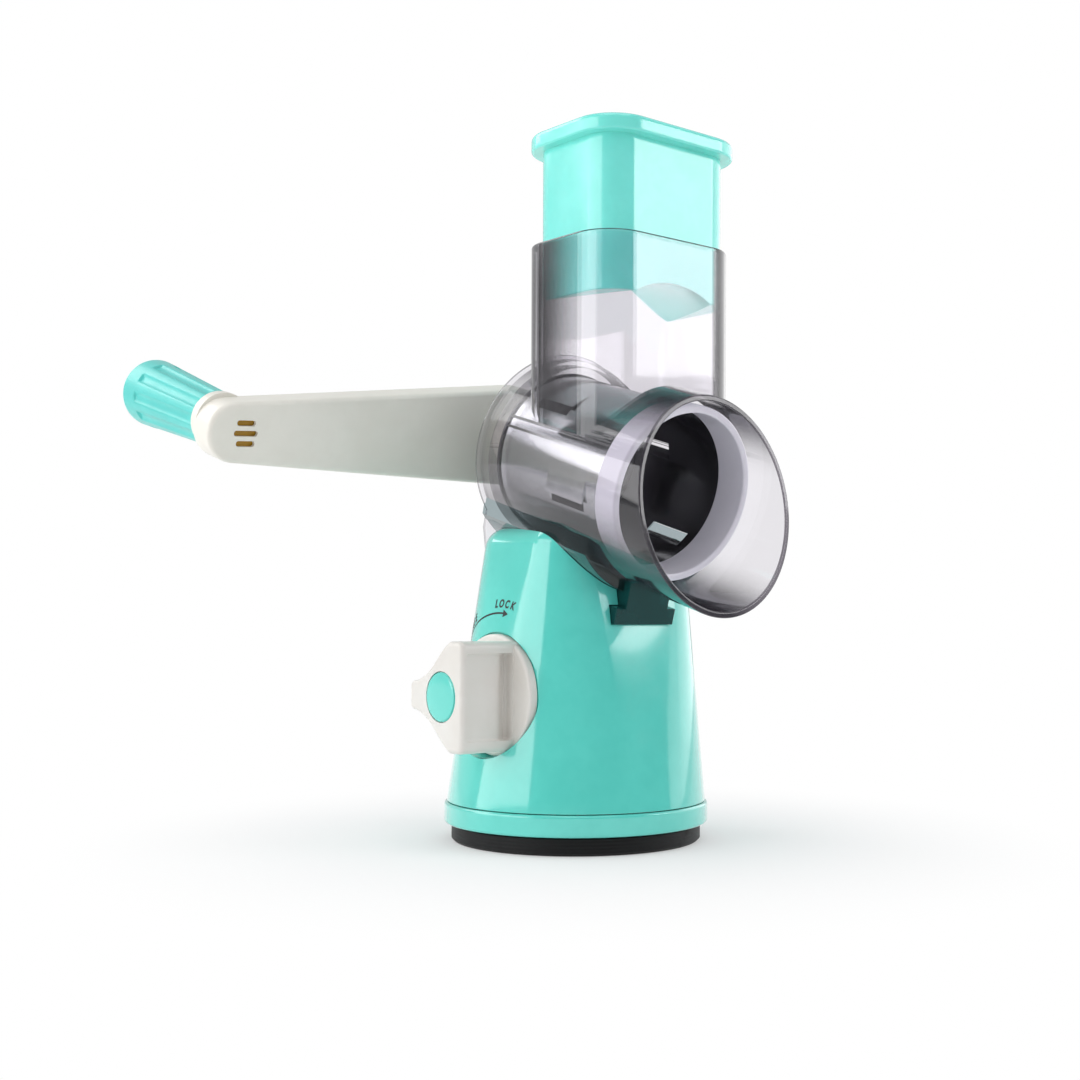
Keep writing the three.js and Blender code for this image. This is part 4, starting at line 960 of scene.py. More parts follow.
class Layout:
    """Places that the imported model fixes, in millimetres."""

    rim_step: float = 1.6  # from the chamber out to its rear rim
    seat_step: float = 4.5  # from the chamber out to its round seat

    def __init__(self, packed: dict[str, Any]) -> None:
        """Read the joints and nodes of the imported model.
        """
        self.nodes = packed["nodes"]
        joints = {joint["name"]: joint for joint in packed["joints"]}
        spin = joints["crank_turn"]
        along = Vector(spin["axis"])
        tilt = math.degrees(math.atan2(along.z, along.y))
        self.drum = shifted(*self._millimetres(spin["pos_m"])) @ turned(tilt, Axis.X)
        self.knob = shifted(*self._millimetres(joints["knob_turn"]["pos_m"]))
        grip = self.drum.inverted() @ self._millimetres(joints["grip_spin"]["pos_m"])
        self.grip = self.drum @ shifted(grip.x, 0, grip.z)
        self.knob_back = self.span("lock_knob", self.knob)[1].x
        self.back_face = self.span("bearing_bush", self.drum)[0].y
        self.chamber_radius = self.span("feed_housing", self.drum)[1].x - self.rim_step
        self.seat_radius = self.chamber_radius + self.seat_step

    @staticmethod
    def _millimetres(point: Sequence[float]) -> Vector:
        """Point given in metres."""
        return Vector(point) / MM

    def span(self, node: str, place: Matrix | None = None) -> tuple[Vector, Vector]:
        """Lowest and highest corner of a node, seen from a place.

        Args:
            node: Name of the node.
            place: The local frame; the whole object's when left out.

        Returns:
            The two corners, in millimetres.
        """
        if place is None:
            low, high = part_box(node)
            return low / MM, high / MM
        inward = place.inverted()
        corners = [inward @ (v.co / MM) for v in self.nodes[node].data.vertices]
        low = Vector([min(c[k] for c in corners) for k in range(3)])
        high = Vector([max(c[k] for c in corners) for k in range(3)])
        return low, high


@dataclass(frozen=True)
class Rail:
    """The T-rail and the tongue of the housing, which the pedestal makes room for."""

    stem_half: float = 12.15
    flange_half: float = 17.3
    thickness: float = 7.4
    drop: float = 12.5
    tongue_half: float = 34.5
    tongue_depth: float = 74.0


@dataclass
class Piece:
    """How one finished object joins the scene."""

    name: str
    body: str
    slot: str
    replaces: tuple[str, ...] = ()
    sharp: float = 32.0

    def make(self, form: Form, place: Matrix, material: bpy.types.Material) -> bpy.types.Object:
        """Turn a solid into a dressed object that rides on its body.

        Args:
            form: The solid, in its own frame.
            place: Where that frame stands.
            material: Its finish.

        Returns:
            The object.
        """
        mesh = form.mesh.copy()
        mesh.name = self.name
        mesh.transform(Matrix.Scale(MM, 4) @ place)
        mesh.materials.clear()
        mesh.materials.append(material)
        for face in mesh.polygons:
            face.material_index = 0
            face.use_smooth = True
        mesh.set_sharp_from_angle(angle=math.radians(self.sharp))
        made = bpy.data.objects.new(self.name, mesh)
        bpy.context.scene.collection.objects.link(made)
        weighted = made.modifiers.new("even_shading", "WEIGHTED_NORMAL")
        weighted.keep_sharp = True
        weighted.weight = 80
        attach(made, self.body)
        if self.replaces:
            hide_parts(*self.replaces)
        log.info("%s: %d faces on %s", self.name, len(mesh.polygons), self.body)
        return made


@dataclass
class Assembly:
    """A group of pieces, with the places and the finishes that they share."""

    layout: Layout
    finishes: Finishes

    def dress(self, material: bpy.types.Material, *nodes: str) -> None:
        """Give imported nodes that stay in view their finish.

        Args:
            material: The finish.
            nodes: Names of the nodes.
        """
        for node in nodes:
            for holder in self.layout.nodes[node].material_slots:
                holder.link = "OBJECT"
                holder.material = material
            log.info("%s: kept", node)


# ---------------------------------------------------------------- suction foot


@dataclass
class SuctionFoot(Assembly):
    """Rubber pad, the ring round it and the plate screwed above it."""

    ring_wall: float = 3.4
    ledge: float = 5.5
    ledge_height: float = 2.0
    ring_edge: float = 1.6
    lip: float = 1.2
    shoulder: float = 0.6
    rib_height: float = 0.06
    rib_steps: int = 8
    groove_inset: float = 3.6
    groove_width: float = 2.0
    groove_depth: float = 1.0
    groove_slope: float = 0.5
    boss_radius: float = 12.0
    boss_flare: float = 1.0
    dish: float = 1.0

    def pad(self) -> Form:
        """Turned pad with a soft lip and fine rings on its flank.

        Returns:
            The solid.
        """
        low, high = self.layout.span("suction_pad")
        radius, top, boss = high.x, self.layout.span("foot_ring")[0].z - GAP, high.z
        outer = radius - self.groove_inset
        inner, slope, roof = outer - self.groove_width, self.groove_slope, low.z + self.groove_depth
        ribs = enumerate(shares(self.rib_steps))
        flank = [(radius - self.rib_height * (k % 2), mix(self.lip, top - self.shoulder, t)) for k, t in ribs]
        corners = [
            (0, low.z), (inner, low.z), (inner + slope, roof), (outer - slope, roof), (outer, low.z),
            (radius - self.lip, low.z), *flank, (radius - self.shoulder, top),
            (self.boss_radius + self.boss_flare, top - self.dish), (self.boss_radius, top - self.dish + self.shoulder),
            (self.boss_radius, boss), (0, boss),
        ]
        radii = [0, 0.3, 0.3, 0.3, 0.3, 0.5, *[0.3] * len(flank), 0.3, 0.5, 0.4, 0.5, 0]
        return Form.lathe(filleted(corners, radii, 3), Axis.Z)

    def ring(self) -> Form:
        """Turned ring with rounded rims and a ledge that holds the pad.

        Returns:
            The solid.
        """
        low, high = self.layout.span("foot_ring")
        radius, bore = high.x, high.x - self.ring_wall
        ledge, ledge_top = bore - self.ledge, low.z + self.ledge_height
        corners = [
            (ledge, low.z), (radius, low.z), (radius, high.z), (bore, high.z), (bore, ledge_top), (ledge, ledge_top)
        ]
        return Form.lathe(filleted(corners, [0.4, self.ring_edge, self.ring_edge, 0.4, 0.3, 0.4], 6), Axis.Z)

    def build(self) -> None:
        """Make the pad and the ring, and dress the plate and its screws."""
        still = Matrix.Identity(4)
        Piece("pad", "base", "rubber", ("suction_pad",)).make(self.pad(), still, self.finishes.rubber)
        Piece("base_ring", "base", "turquoise_plastic", ("foot_ring",)).make(
            self.ring(), still, self.finishes.turquoise
        )
        self.dress(self.finishes.ring, "pressure_plate")
        self.dress(self.finishes.steel, *(f"plate_screw_{k}" for k in range(1, 5)))


# ---------------------------------------------------------------- pedestal


@dataclass
class Pedestal(Assembly):
    """Hollow body whose round foot turns into a rounded saddle under the chamber."""

    rail: Rail = Rail()
    top_half_width: float = 41.0
    top_half_depth: float = 31.0
    top_corner: float = 16.0
    top_shift: float = -6.4
    foot_inset: float = 1.2
    spread: float = 12.0
    corner_steps: int = 22
    side_steps: int = 8
    crest_drop: float = 33.0
    crest_rounding: float = 8.5
    foot_edge: tuple[Point, ...] = ((0, 0.35), (0.1, 0.1), (0.4, 0))
    wall: float = 3.0
    hollow_drop: float = 22.0
    boss_count: int = 4
    boss_turn: float = 45.0
    boss_circle: float = 45.0
    boss_radius: float = 4.5
    boss_top: float = 84.0
    boss_rib: Point = (16.0, 1.0)
    hole_radius: float = 2.0
    hole_depth: float = 14.0
    pocket_room: float = 0.9
    cup_start: float = -60.0
    web: tuple[Point, Point, float] = ((15.0, 18.5), (-22.0, 22.0), -15.0)
    shaft_radius: float = 5.0
    shaft_end: float = 23.5

    def outline(self, rise: float, inset: float) -> Outline:
        """Plan at one height.

        Args:
            rise: 0 at the foot, 1 at the crest.
            inset: How far it is drawn in.

        Returns:
            The outline, with equally many points at every height.
        """
        foot = self.layout.span("foot_ring")[1].x - self.foot_inset - inset
        x, y = self.top_half_width - self.top_corner, self.top_half_depth - self.top_corner
        corner = self.top_corner - inset
        points: Outline = []
        for quadrant, (sx, sy) in enumerate(((1, 1), (-1, 1), (-1, -1), (1, -1))):
            middle = (sx * x, sy * y + self.top_shift)
            start = 90 * quadrant
            for share in shares(self.corner_steps):
                low = math.radians(start + mix(self.spread, 90 - self.spread, share))
                high = math.radians(start + 90 * share)
                crest = (middle[0] + corner * math.cos(high), middle[1] + corner * math.sin(high))
                points.append(self._between(foot, low, crest, rise))
            here, ahead = middle, ((-sx * x, sy * y), (sx * x, -sy * y))[quadrant % 2]
            ahead = (ahead[0], ahead[1] + self.top_shift)
            turn = math.radians(start + 90)
            for share in shares(self.side_steps)[1:-1]:
                low = math.radians(start + 90 + mix(-self.spread, self.spread, share))
                crest = (
                    mix(here[0], ahead[0], share) + corner * math.cos(turn),
                    mix(here[1], ahead[1], share) + corner * math.sin(turn),
                )
                points.append(self._between(foot, low, crest, rise))
        return points

    @staticmethod
    def _between(foot: float, angle: float, crest: Point, rise: float) -> Point:
        """Point between the foot's circle and the crest's outline."""
        return (mix(foot * math.cos(angle), crest[0], rise), mix(foot * math.sin(angle), crest[1], rise))

    def _heights(self) -> tuple[float, float]:
        """Foot and crest of the body.

        Returns:
            Their heights.
        """
        foot = self.layout.span("foot_ring")[1].z + GAP
        crest = self.layout.drum.translation.z - self.crest_drop
        return foot, crest

    def section(self, z: float, inset: float) -> list[Vector]:
        """Ring of points at a height."""
        foot, crest = self._heights()
        return [Vector((u, v, z)) for u, v in self.outline((z - foot) / (crest - foot), inset)]

    def outside(self, drawn_in: float = 0.0) -> Form:
        """Full outer form with its crest rounded over.

        Args:
            drawn_in: How far its sides lie inside the real surface.

        Returns:
            The solid.
        """
        foot, crest = self._heights()
        shoulder = crest - self.crest_rounding
        rings = [self.section(foot + up, inset + drawn_in) for up, inset in self.foot_edge]
        side = foot + self.foot_edge[-1][0]
        rings += [self.section(mix(side, shoulder, share), drawn_in) for share in shares(20)[1:-1]]
        for share in shares(8):
            angle = math.radians(90 * share)
            inset = drawn_in + self.crest_rounding * (1 - math.cos(angle))
            rings.append(self.section(shoulder + self.crest_rounding * math.sin(angle), inset))
        return Form.loft(rings)

    def slot(self) -> list[Form]:
        """T-shaped way of the housing's rail.

        Returns:
            Its stem and its flange.
        """
        seat, tilt, rail = self.layout.seat_radius, self.layout.drum, self.rail
        depth = seat + rail.drop
        top = depth - rail.thickness
        neck, wide = rail.stem_half + GAP, rail.flange_half + GAP
        stem = Form.block((-neck, neck), (-FAR, FAR), (-top - CLEAR, 8 - seat))
        flange = Form.block((-wide, wide), (-FAR, FAR), (-depth - GAP, GAP - top))
        return [stem.moved(tilt), flange.moved(tilt)]

    def hollow(self) -> Form:
        """Room inside the shell.

        Returns:
            The solid to cut away.
        """
        foot, crest = self._heights()
        rings = [self.section(foot - CLEAR, self.wall), self.section(crest - self.hollow_drop, self.wall)]
        tilt = self.layout.drum
        block = self.rail.flange_half + GAP + self.wall
        roof = -(self.layout.seat_radius + self.rail.drop) - GAP - self.wall
        saddle = Form.rod(self.layout.seat_radius + GAP + self.wall, -FAR, FAR, Axis.Y, FINE).moved(tilt)
        walls = Form.block((-block, block), (-FAR, FAR), (roof, 0)).moved(tilt)
        return reduced(Form.loft(rings), [saddle, walls])

    def bosses(self, outside: Form) -> Form:
        """Posts for the plate's screws.

        Args:
            outside: The full outer form, which trims them.

        Returns:
            The posts and their ribs.
        """
        foot, _ = self._heights()
        toe = self.layout.span("pressure_plate")[1].z + GAP
        length, half = self.boss_rib
        posts = []
        for place in self._boss_places():
            post = Form.rod(self.boss_radius, foot, self.boss_top, Axis.Z, SMALL)
            rib = Form.block((0, length), (-half, half), (foot, self.boss_top))
            tip = Form.rod(self.boss_radius, toe, foot + CLEAR, Axis.Z, SMALL)
            posts += [(post + rib).moved(place) & outside, tip.moved(place)]
        return union(posts)

    def _boss_places(self) -> list[Matrix]:
        """Where the screw posts stand."""
        turns = [self.boss_turn + 360 * k / self.boss_count for k in range(self.boss_count)]
        return [turned(turn, Axis.Z) @ shifted(self.boss_circle, 0, 0) for turn in turns]

    def body(self) -> Form:
        """Shell with its saddle, slot, knob pocket and bosses.

        Returns:
            The solid.
        """
        outside, within, knob = self.outside(), self.outside(0.4), self.layout.knob
        radius = self.layout.span("lock_knob", knob)[1].z + self.pocket_room
        floor = self.layout.knob_back + GAP
        cup = Form.rod(radius + self.wall, self.cup_start, floor + self.wall, Axis.X, FINE).moved(knob) & within
        thick, wide, low = self.web
        web = Form.block(thick, wide, (low, FAR)).moved(knob) & within
        shell = union([outside - self.hollow(), cup, web, self.bosses(within)])
        tilt = self.layout.drum
        half, depth = self.rail.tongue_half + GAP, self.rail.tongue_depth + GAP
        tongue = Form.block((-half, half), (self.layout.back_face - GAP, FAR), (-depth, 0)).moved(tilt)
        saddle = Form.rod(self.layout.seat_radius + GAP, -FAR, FAR, Axis.Y, FINE).moved(tilt)
        pocket = Form.rod(radius, -FAR, floor, Axis.X, FINE).moved(knob)
        bore = Form.rod(self.shaft_radius + GAP, floor - CLEAR, self.shaft_end, Axis.X, SMALL).moved(knob)
        plate = self.layout.span("pressure_plate")[1].z
        hole = Form.rod(self.hole_radius, plate, plate + self.hole_depth, Axis.Z, TINY)
        holes = [hole.moved(place) for place in self._boss_places()]
        return reduced(shell, [saddle, *self.slot(), tongue, pocket, bore, *holes])

    def build(self) -> bpy.types.Object:
        """Make the body.

        Returns:
            The body, which carries the legend.
        """
        return Piece("pedestal_shell", "base", "turquoise_plastic", ("pedestal",), 28).make(
            self.body(), Matrix.Identity(4), self.finishes.turquoise
        )


@dataclass
class Legend(Assembly):
    """Words and arrow beside the lock knob, printed on the body's side."""

    words: tuple[tuple[str, float, float], ...] = (("LOCK", -5.0, 38.8), ("RELEASE", 45.0, 37.7))
    cap_height: float = 3.5
    cap_share: float = 0.72
    slant: float = 0.25
    weight: float = 0.2
    letter_width: float = 0.84
    letter_gap: float = 0.55
    arrow_turns: tuple[float, float] = (57.0, -10.0)
    arrow_radius: float = 36.2
    arrow_width: float = 0.8
    arrow_steps: int = 40
    head_length: float = 3.6
    head_width: float = 3.5
    longest_edge: float = 1.2
    throw: float = 100.0
    lift: float = 0.06

    def _letter(self, letter: str) -> bpy.types.Mesh:
        """Flat mesh of one letter.

        Args:
            letter: The letter.

        Returns:
            Its mesh, in millimetres.
        """
        curve = bpy.data.curves.new("letter", "FONT")
        curve.body, curve.size, curve.shear = letter, self.cap_height / self.cap_share, self.slant
        curve.offset, curve.resolution_u = self.weight, 6
        holder = bpy.data.objects.new("letter", curve)
        bpy.context.scene.collection.objects.link(holder)
        mesh = bpy.data.meshes.new_from_object(holder.evaluated_get(bpy.context.evaluated_depsgraph_get()))
        bpy.data.objects.remove(holder)
        mesh.transform(Matrix.Diagonal((self.letter_width, 1, 1, 1)))
        return mesh

    def _flat_word(self, text: str, turn: float, base: float) -> list[FlatMark]:
        """Letters of a word laid along an arc round the knob.

        Args:
            text: The word.
            turn: Angle of its middle from straight up, in degrees.
            base: Radius that the letters stand on.

        Returns:
            Points (left, up) and faces per letter.
        """
        letters = [self._letter(letter) for letter in text]
        advance = [0.0]
        for mesh in letters:
            advance.append(advance[-1] + max(v.co.x for v in mesh.vertices) + self.letter_gap)
        half = (advance[-1] - self.letter_gap) / 2
        pieces = []
        for mesh, start in zip(letters, advance):
            points = []
            for vertex in mesh.vertices:
                angle = math.radians(turn) - (vertex.co.x + start - half) / base
                radius = base + vertex.co.y
                points.append((radius * math.sin(angle), radius * math.cos(angle)))
            pieces.append((points, [list(face.vertices) for face in mesh.polygons]))
        return pieces

    def _flat_arrow(self) -> list[FlatMark]:
        """Curved arrow round the knob.

        Returns:
            Points (left, up) and faces.
        """
        tail, tip = self.arrow_turns
        neck = tip + math.degrees(self.head_length / self.arrow_radius)
        stops: list[Point] = []
        for share in shares(self.arrow_steps):
            half = self.arrow_width * mix(0.25, 0.5, min(1, share * 1.6))
            stops += [(mix(tail, neck - 0.4, share), side) for side in (-half, half)]
        stops += [(neck, -self.head_width / 2), (neck, self.head_width / 2), (tip, 0)]
        points = []
        for angle, side in stops:
            radius, turn = self.arrow_radius + side, math.radians(angle)
            points.append((radius * math.sin(turn), radius * math.cos(turn)))
        faces = [[2 * k, 2 * k + 1, 2 * k + 3, 2 * k + 2] for k in range(self.arrow_steps)]
        base = 2 * self.arrow_steps + 2
        return [(points, [*faces, [base, base + 1, base + 2]])]

    def _laid(self, parts: list[FlatMark], surface: BVHTree) -> Form:
        """Flat marks projected onto the body's side.

        Args:
            parts: The marks, flat round the knob's middle.
            surface: The body, in metres.

        Returns:
            The marks just proud of the surface.
        """
        middle = self.layout.knob.translation
        work = bmesh.new()
        for points, faces in parts:
            corners = [work.verts.new((0, middle.y + left, middle.z + up)) for left, up in points]
            for loop in faces:
                work.faces.new([corners[k] for k in loop])
        bmesh.ops.triangulate(work, faces=work.faces[:])
        long = [e for e in work.edges if e.calc_length() > self.longest_edge]
        bmesh.ops.subdivide_edges(work, edges=long, cuts=1)
        for corner in work.verts:
            start = Vector((-self.throw, corner.co.y, corner.co.z)) * MM
            hit, normal, _, _ = surface.ray_cast(start, Vector((1, 0, 0)))
            corner.co = (hit + normal * self.lift * MM) / MM if hit else corner.co
        bmesh.ops.recalc_face_normals(work, faces=work.faces[:])
        return Form(meshed(work))

    def print_on(self, body: bpy.types.Object) -> None:
        """Lay the legend on the body's side.

        Args:
            body: The dressed pedestal.
        """
        surface = BVHTree.FromPolygons(
            [v.co.copy() for v in body.data.vertices], [list(face.vertices) for face in body.data.polygons]
        )
        marks = {f"word_{text.lower()}": self._flat_word(text, turn, base) for text, turn, base in self.words}
        marks["turn_arrow"] = self._flat_arrow()
        for name, parts in marks.items():
            form = self._laid(parts, surface)
            Piece(name, "base", "rubber").make(form, Matrix.Identity(4), self.finishes.ink)


# ---------------------------------------------------------------- lock knob


@dataclass
class LockKnob(Assembly):
    """Disc with a thick lever, its cap, and the cam behind it."""

    disc_edge: float = 1.6
    tip_inset: float = 3.0
    front: float = 15.5
    corner: float = 4.2
    shoulder: float = 5.5
    flank_pulls: tuple[Point, Point] = ((3.5, 4.0), (7.0, 9.5))
    nose_inset: float = 2.8
    nose_half: float = 6.5
    nose_corner: float = 3.0
    edge: float = 2.2
    disc_thickness: float = 4.2
    panel_depth: float = 0.9
    panel_start: float = 2.6
    scoop_depth: float = 5.0
    scoop_end: float = 5.0
    scoop_rounding: float = 1.6
    slope_places: tuple[float, float, float, float] = (1.2, 3.2, 5.5, 9.5)
    cap_radius: float = 10.8
    cap_thickness: float = 1.8
    cap_crown: float = 0.5
    well: Point = (4.4, 6.0)
    screw_radius: float = 2.0
    socket: Point = (5.3, 10.3)

    def _sizes(self) -> tuple[float, float, float]:
        """Disc radius, disc face and lever face, out from the middle."""
        low, high = self.layout.span("lock_knob", self.layout.knob)
        return high.z, self.layout.knob_back - self.disc_thickness, low.x

    def lever_outline(self) -> Outline:
        """Side view of the lever, nose towards +Y.

        Returns:
            A closed outline, counter-clockwise.
        """
        radius = self._sizes()[0]
        top, nose = radius - self.tip_inset, radius - self.nose_inset
        half, corner, front = self.nose_half, self.nose_corner, -self.front
        (near, drop), far = self.flank_pulls
        flank = bezier((-self.shoulder, top), (near, top - drop), far, (nose - corner, half))
        tip = bezier((nose - corner, half), (nose - 1, half), (nose, half - 1), (nose, half - corner), 8)
        heel = bezier((front, top - self.corner), (front, top - 1), (front + 1, top), (front + self.corner, top), 8)
        above = heel + flank + tip[1:]
        below = [(u, -v) for u, v in above][::-1]
        return (above + below)[::-1]

    def lever(self) -> Form:
        """Disc and lever with the scoop, the cap's seat and the screw's way.

        Returns:
            The solid.
        """
        radius, face, end = self._sizes()
        back = self.layout.knob_back
        disc = Form.rod(radius, face, back, Axis.X, FINE, (self.disc_edge, 0.4), 8)
        bar = Form.prism(self.lever_outline(), end, back - 0.5, Axis.X, low_edge=self.edge)
        bar = bar & Form.rod(radius + 0.6, end - CLEAR, 0, Axis.X, FINE)
        half = radius - self.tip_inset - self.scoop_end
        seat = end + self.cap_thickness + GAP
        floor = self.panel_depth - self.front
        deep = floor + self.scoop_depth
        near, pull, push, far = (face - out for out in self.slope_places)
        slope = bezier((near, deep), (pull, deep), (push, floor), (far, floor), 16)
        start, foot, away = end + self.panel_start, face - 0.4, -40.0
        scoop = [(start, away), (foot, away), (foot, deep - self.slope_places[0]), *slope, (start, floor)]
        cuts = [
            Form.prism(scoop, -half, half, Axis.Z, self.scoop_rounding, self.scoop_rounding),
            Form.rod(self.cap_radius + GAP, end - CLEAR, seat, Axis.X),
            Form.rod(self.well[0], end, end + self.well[1], Axis.X, SMALL),
            Form.rod(self.screw_radius, end, face, Axis.X, TINY),
            Form.rod(self.socket[0], back - self.socket[1], 0, Axis.X, SMALL),
        ]
        return reduced(disc + bar, cuts)

    def cap(self) -> Form:
        """Slightly domed round cap.

        Returns:
            The solid.
        """
        end = self._sizes()[2]
        seat, radius = end + self.cap_thickness, self.cap_radius
        turns = [math.radians(angle) for angle in range(0, 75, 8)]
        dome = [(radius * math.sin(turn), end - self.cap_crown * math.cos(turn)) for turn in turns]
        profile = [*dome, *filleted([(radius, end), (radius, seat), (0, seat)], [0.6, 0.2, 0], 5)]
        return Form.lathe(profile, Axis.X, MEDIUM)

    def build(self) -> None:
        """Make the knob and its cap, and dress what is behind them."""
        place = self.layout.knob
        Piece("knob_lever", "knob", "white_plastic", ("lock_knob",), 30).make(self.lever(), place, self.finishes.white)
        Piece("knob_button", "knob", "turquoise_plastic", ("knob_cap",)).make(
            self.cap(), place, self.finishes.turquoise
        )
        self.dress(self.finishes.steel, "knob_screw")
        self.dress(self.finishes.ring, "cam_shaft", "lift_plunger")


# ---------------------------------------------------------------- feed housing


class Wall(IntEnum):
    """Kinds of wall of the clear housing, in the order of its finishes."""

    PLAIN = 0
    RIM = 1
    SEAT = 2
    RAIL = 3
    HOPPER = 4


@dataclass
class FeedHousing(Assembly):
    """Clear chamber with its hopper, oblique mouth, T-rail and rear leg."""

    chamber_wall: float = 2.5
    back_wall: float = 2.1
    rim_width: float = 2.6
    mouth_top: float = -79.0
    mouth_bottom: float = -114.0
    hopper_inset: float = 3.5
    hopper_depth: float = 62.6
    hopper_corner: float = 18.7
    hopper_wall: float = 2.4
    hopper_centre: float = -36.0
    hopper_back: float = -8.0
    hopper_lip: float = 0.9
    bearing_radius: float = 12.5
    bearing_length: float = 20.3
    bearing_bore: float = 8.4
    rail: Rail = Rail()
    rail_front: float = -66.0
    seat_front: float = -62.0
    seat_top: float = -20.0
    seat_half: float = 37.0
    tongue_shoulder: float = 38.0
    tongue_foot: float = 26.0
    tongue_corner: float = 8.0
    rib_count: int = 6
    rib_half: float = 0.9
    rib_reach: Point = (9.0, 6.0)
    guide_angles: tuple[float, float] = (158.0, 164.0)
    guide_half: float = 0.55
    guide_length: float = 53.0
    guide_height: float = 0.8
    bush_bore: float = 6.4
    bush_radius: float = 8.1
    bush_flange: float = 1.4
    softening: float = 0.7

    def leg(self) -> Form:
        """Flat tongue behind the pedestal.

        Returns:
            The solid.
        """
        half, corner, shoulder = self.rail.tongue_half, self.tongue_corner, -self.tongue_shoulder
        right = arc((self.tongue_foot - corner, corner - self.rail.tongue_depth), corner, 270, 360, 12)
        points = [(half, shoulder), (half, 0.0), (-half, 0.0), (-half, shoulder)]
        left = [(-u, v) for u, v in right][::-1]
        face, back = self.layout.back_face, self.layout.back_face + self.rim_width
        return Form.prism(points + left + right, face, back, Axis.Y, 0.4, 0.6)

    def seat(self) -> Form:
        """Round seat under the chamber with the T-rail below it.

        Returns:
            The solid.
        """
        seat, back = self.layout.seat_radius, self.layout.back_face + 1
        drop = seat + self.rail.drop
        top = drop - self.rail.thickness
        round_seat = Form.rod(seat, self.seat_front, back, Axis.Y, FINE, (0.8, 0))
        bounds = Form.block((-self.seat_half, self.seat_half), (-FAR, FAR), (-FAR, self.seat_top))
        stem, flange, front = self.rail.stem_half, self.rail.flange_half, self.rail_front
        neck = Form.block((-stem, stem), (front, back), (-top - 1, self.chamber_wall - self.layout.chamber_radius))
        plan = filleted([(-flange, -drop), (flange, -drop), (flange, -top), (-flange, -top)], 0.5, 4)
        return union([round_seat & bounds, neck, Form.prism(plan, front, back, Axis.Y, 0.5)])

    def ribs(self) -> list[Form]:
        """Ribs round the bearing and guide ribs along the chamber.

        Returns:
            One solid per rib.
        """
        face, rim = self.layout.back_face, self.layout.back_face + self.rim_width
        radius = self.layout.chamber_radius
        reach, inset = self.rib_reach
        inner, outer = self.bearing_radius - 1, radius + self.layout.rim_step - inset
        side = [(face, inner), (rim + reach, inner), (rim, outer), (face, outer)]
        rib = Form.prism(side, -self.rib_half, self.rib_half, Axis.X, 0.3, 0.3)
        gathered = [rib.moved(turned(360 * (k + 0.5) / self.rib_count, Axis.Y)) for k in range(self.rib_count)]
        half = self.guide_half
        guide = Form.block((radius - 1, radius + self.guide_height), (-self.guide_length, 0), (-half, half))
        for angle in self.guide_angles:
            gathered += [guide.moved(turned(-a, Axis.Y)) for a in (angle, 180 - angle)]
        return gathered

    def _mouth_edge(self, height: float) -> Point:
        """Place of the mouth's plane at a height from the axis."""
        slope = (self.mouth_top - self.mouth_bottom) / (2 * self.layout.chamber_radius)
        return ((self.mouth_top + self.mouth_bottom) / 2 + slope * height, height)

    def _above(self, height: float) -> Form:
        """Everything above a plane along the drum axis."""
        return Form.block((-FAR, FAR), (-FAR, FAR), (height, FAR)).moved(self.layout.drum)

    def hopper(self) -> tuple[Form, Form]:
        """Hopper and the chute cut through it.

        Returns:
            The two solids.
        """
        width = 2 * (self.layout.chamber_radius - self.hopper_inset)
        top = self.layout.span("feed_housing")[1].z
        low, middle, wall = self.layout.drum.translation.z - 60, (0, self.hopper_centre), self.hopper_wall
        plan = rounded_rectangle(width, self.hopper_depth, self.hopper_corner, middle, 28)
        lip = self.hopper_lip
        outer = Form.prism(plan, low, top, Axis.Z, high_edge=lip) & self._above(6)
        chute = Form.well(shrunk(plan, wall), low, top, lip, (30, 60, 90))
        return outer, chute & self._above(4)

    def body(self) -> Form:
        """The whole housing.

        Returns:
            The solid.
        """
        tilt, radius = self.layout.drum, self.layout.chamber_radius
        face, rim = self.layout.back_face, self.layout.back_face + self.rim_width
        edge = radius + self.layout.rim_step
        end = face + self.bearing_length
        barrel = Form.rod(radius, self.mouth_bottom - 5, rim - GAP, Axis.Y, FINE)
        back = Form.rod(edge, face, rim, Axis.Y, FINE, (0.8, 1.0), 5)
        bearing = Form.rod(self.bearing_radius, face, end, Axis.Y, MEDIUM, (0, 0.6))
        chamber = union([barrel, back, bearing, self.leg(), self.seat(), *self.ribs()])
        hopper, chute = self.hopper()
        bore = radius - self.chamber_wall
        inside = face - self.back_wall
        lowest = -radius - CLEAR
        mouth = [self._mouth_edge(lowest), self._mouth_edge(FAR), (-FAR, FAR), (-FAR, lowest)]
        cuts = [
            Form.rod(bore, -FAR, inside, Axis.Y, FINE).moved(tilt),
            chute,
            Form.prism(mouth, -FAR, FAR, Axis.X).moved(tilt),
            Form.rod(self.bearing_bore, inside - CLEAR, end + CLEAR, Axis.Y).moved(tilt),
        ]
        whole = reduced(chamber.moved(tilt) + hopper, cuts)
        return whole.softened(self.softening, lambda point: self._on_mouth(point, margin=0.03))

    def _on_mouth(self, point: Vector, margin: float) -> bool:
        """Tell whether a point lies on the plane of the mouth.

        Args:
            point: The point, in the whole object's frame.
            margin: How far from the plane it may be.

        Returns:
            True when it does.
        """
        here = self.layout.drum.inverted() @ point
        near = here.y < self.mouth_top + 6 and abs(here.y - self._mouth_edge(here.z)[0]) < margin
        return near and math.hypot(here.x, here.z) < self.layout.chamber_radius + 0.1

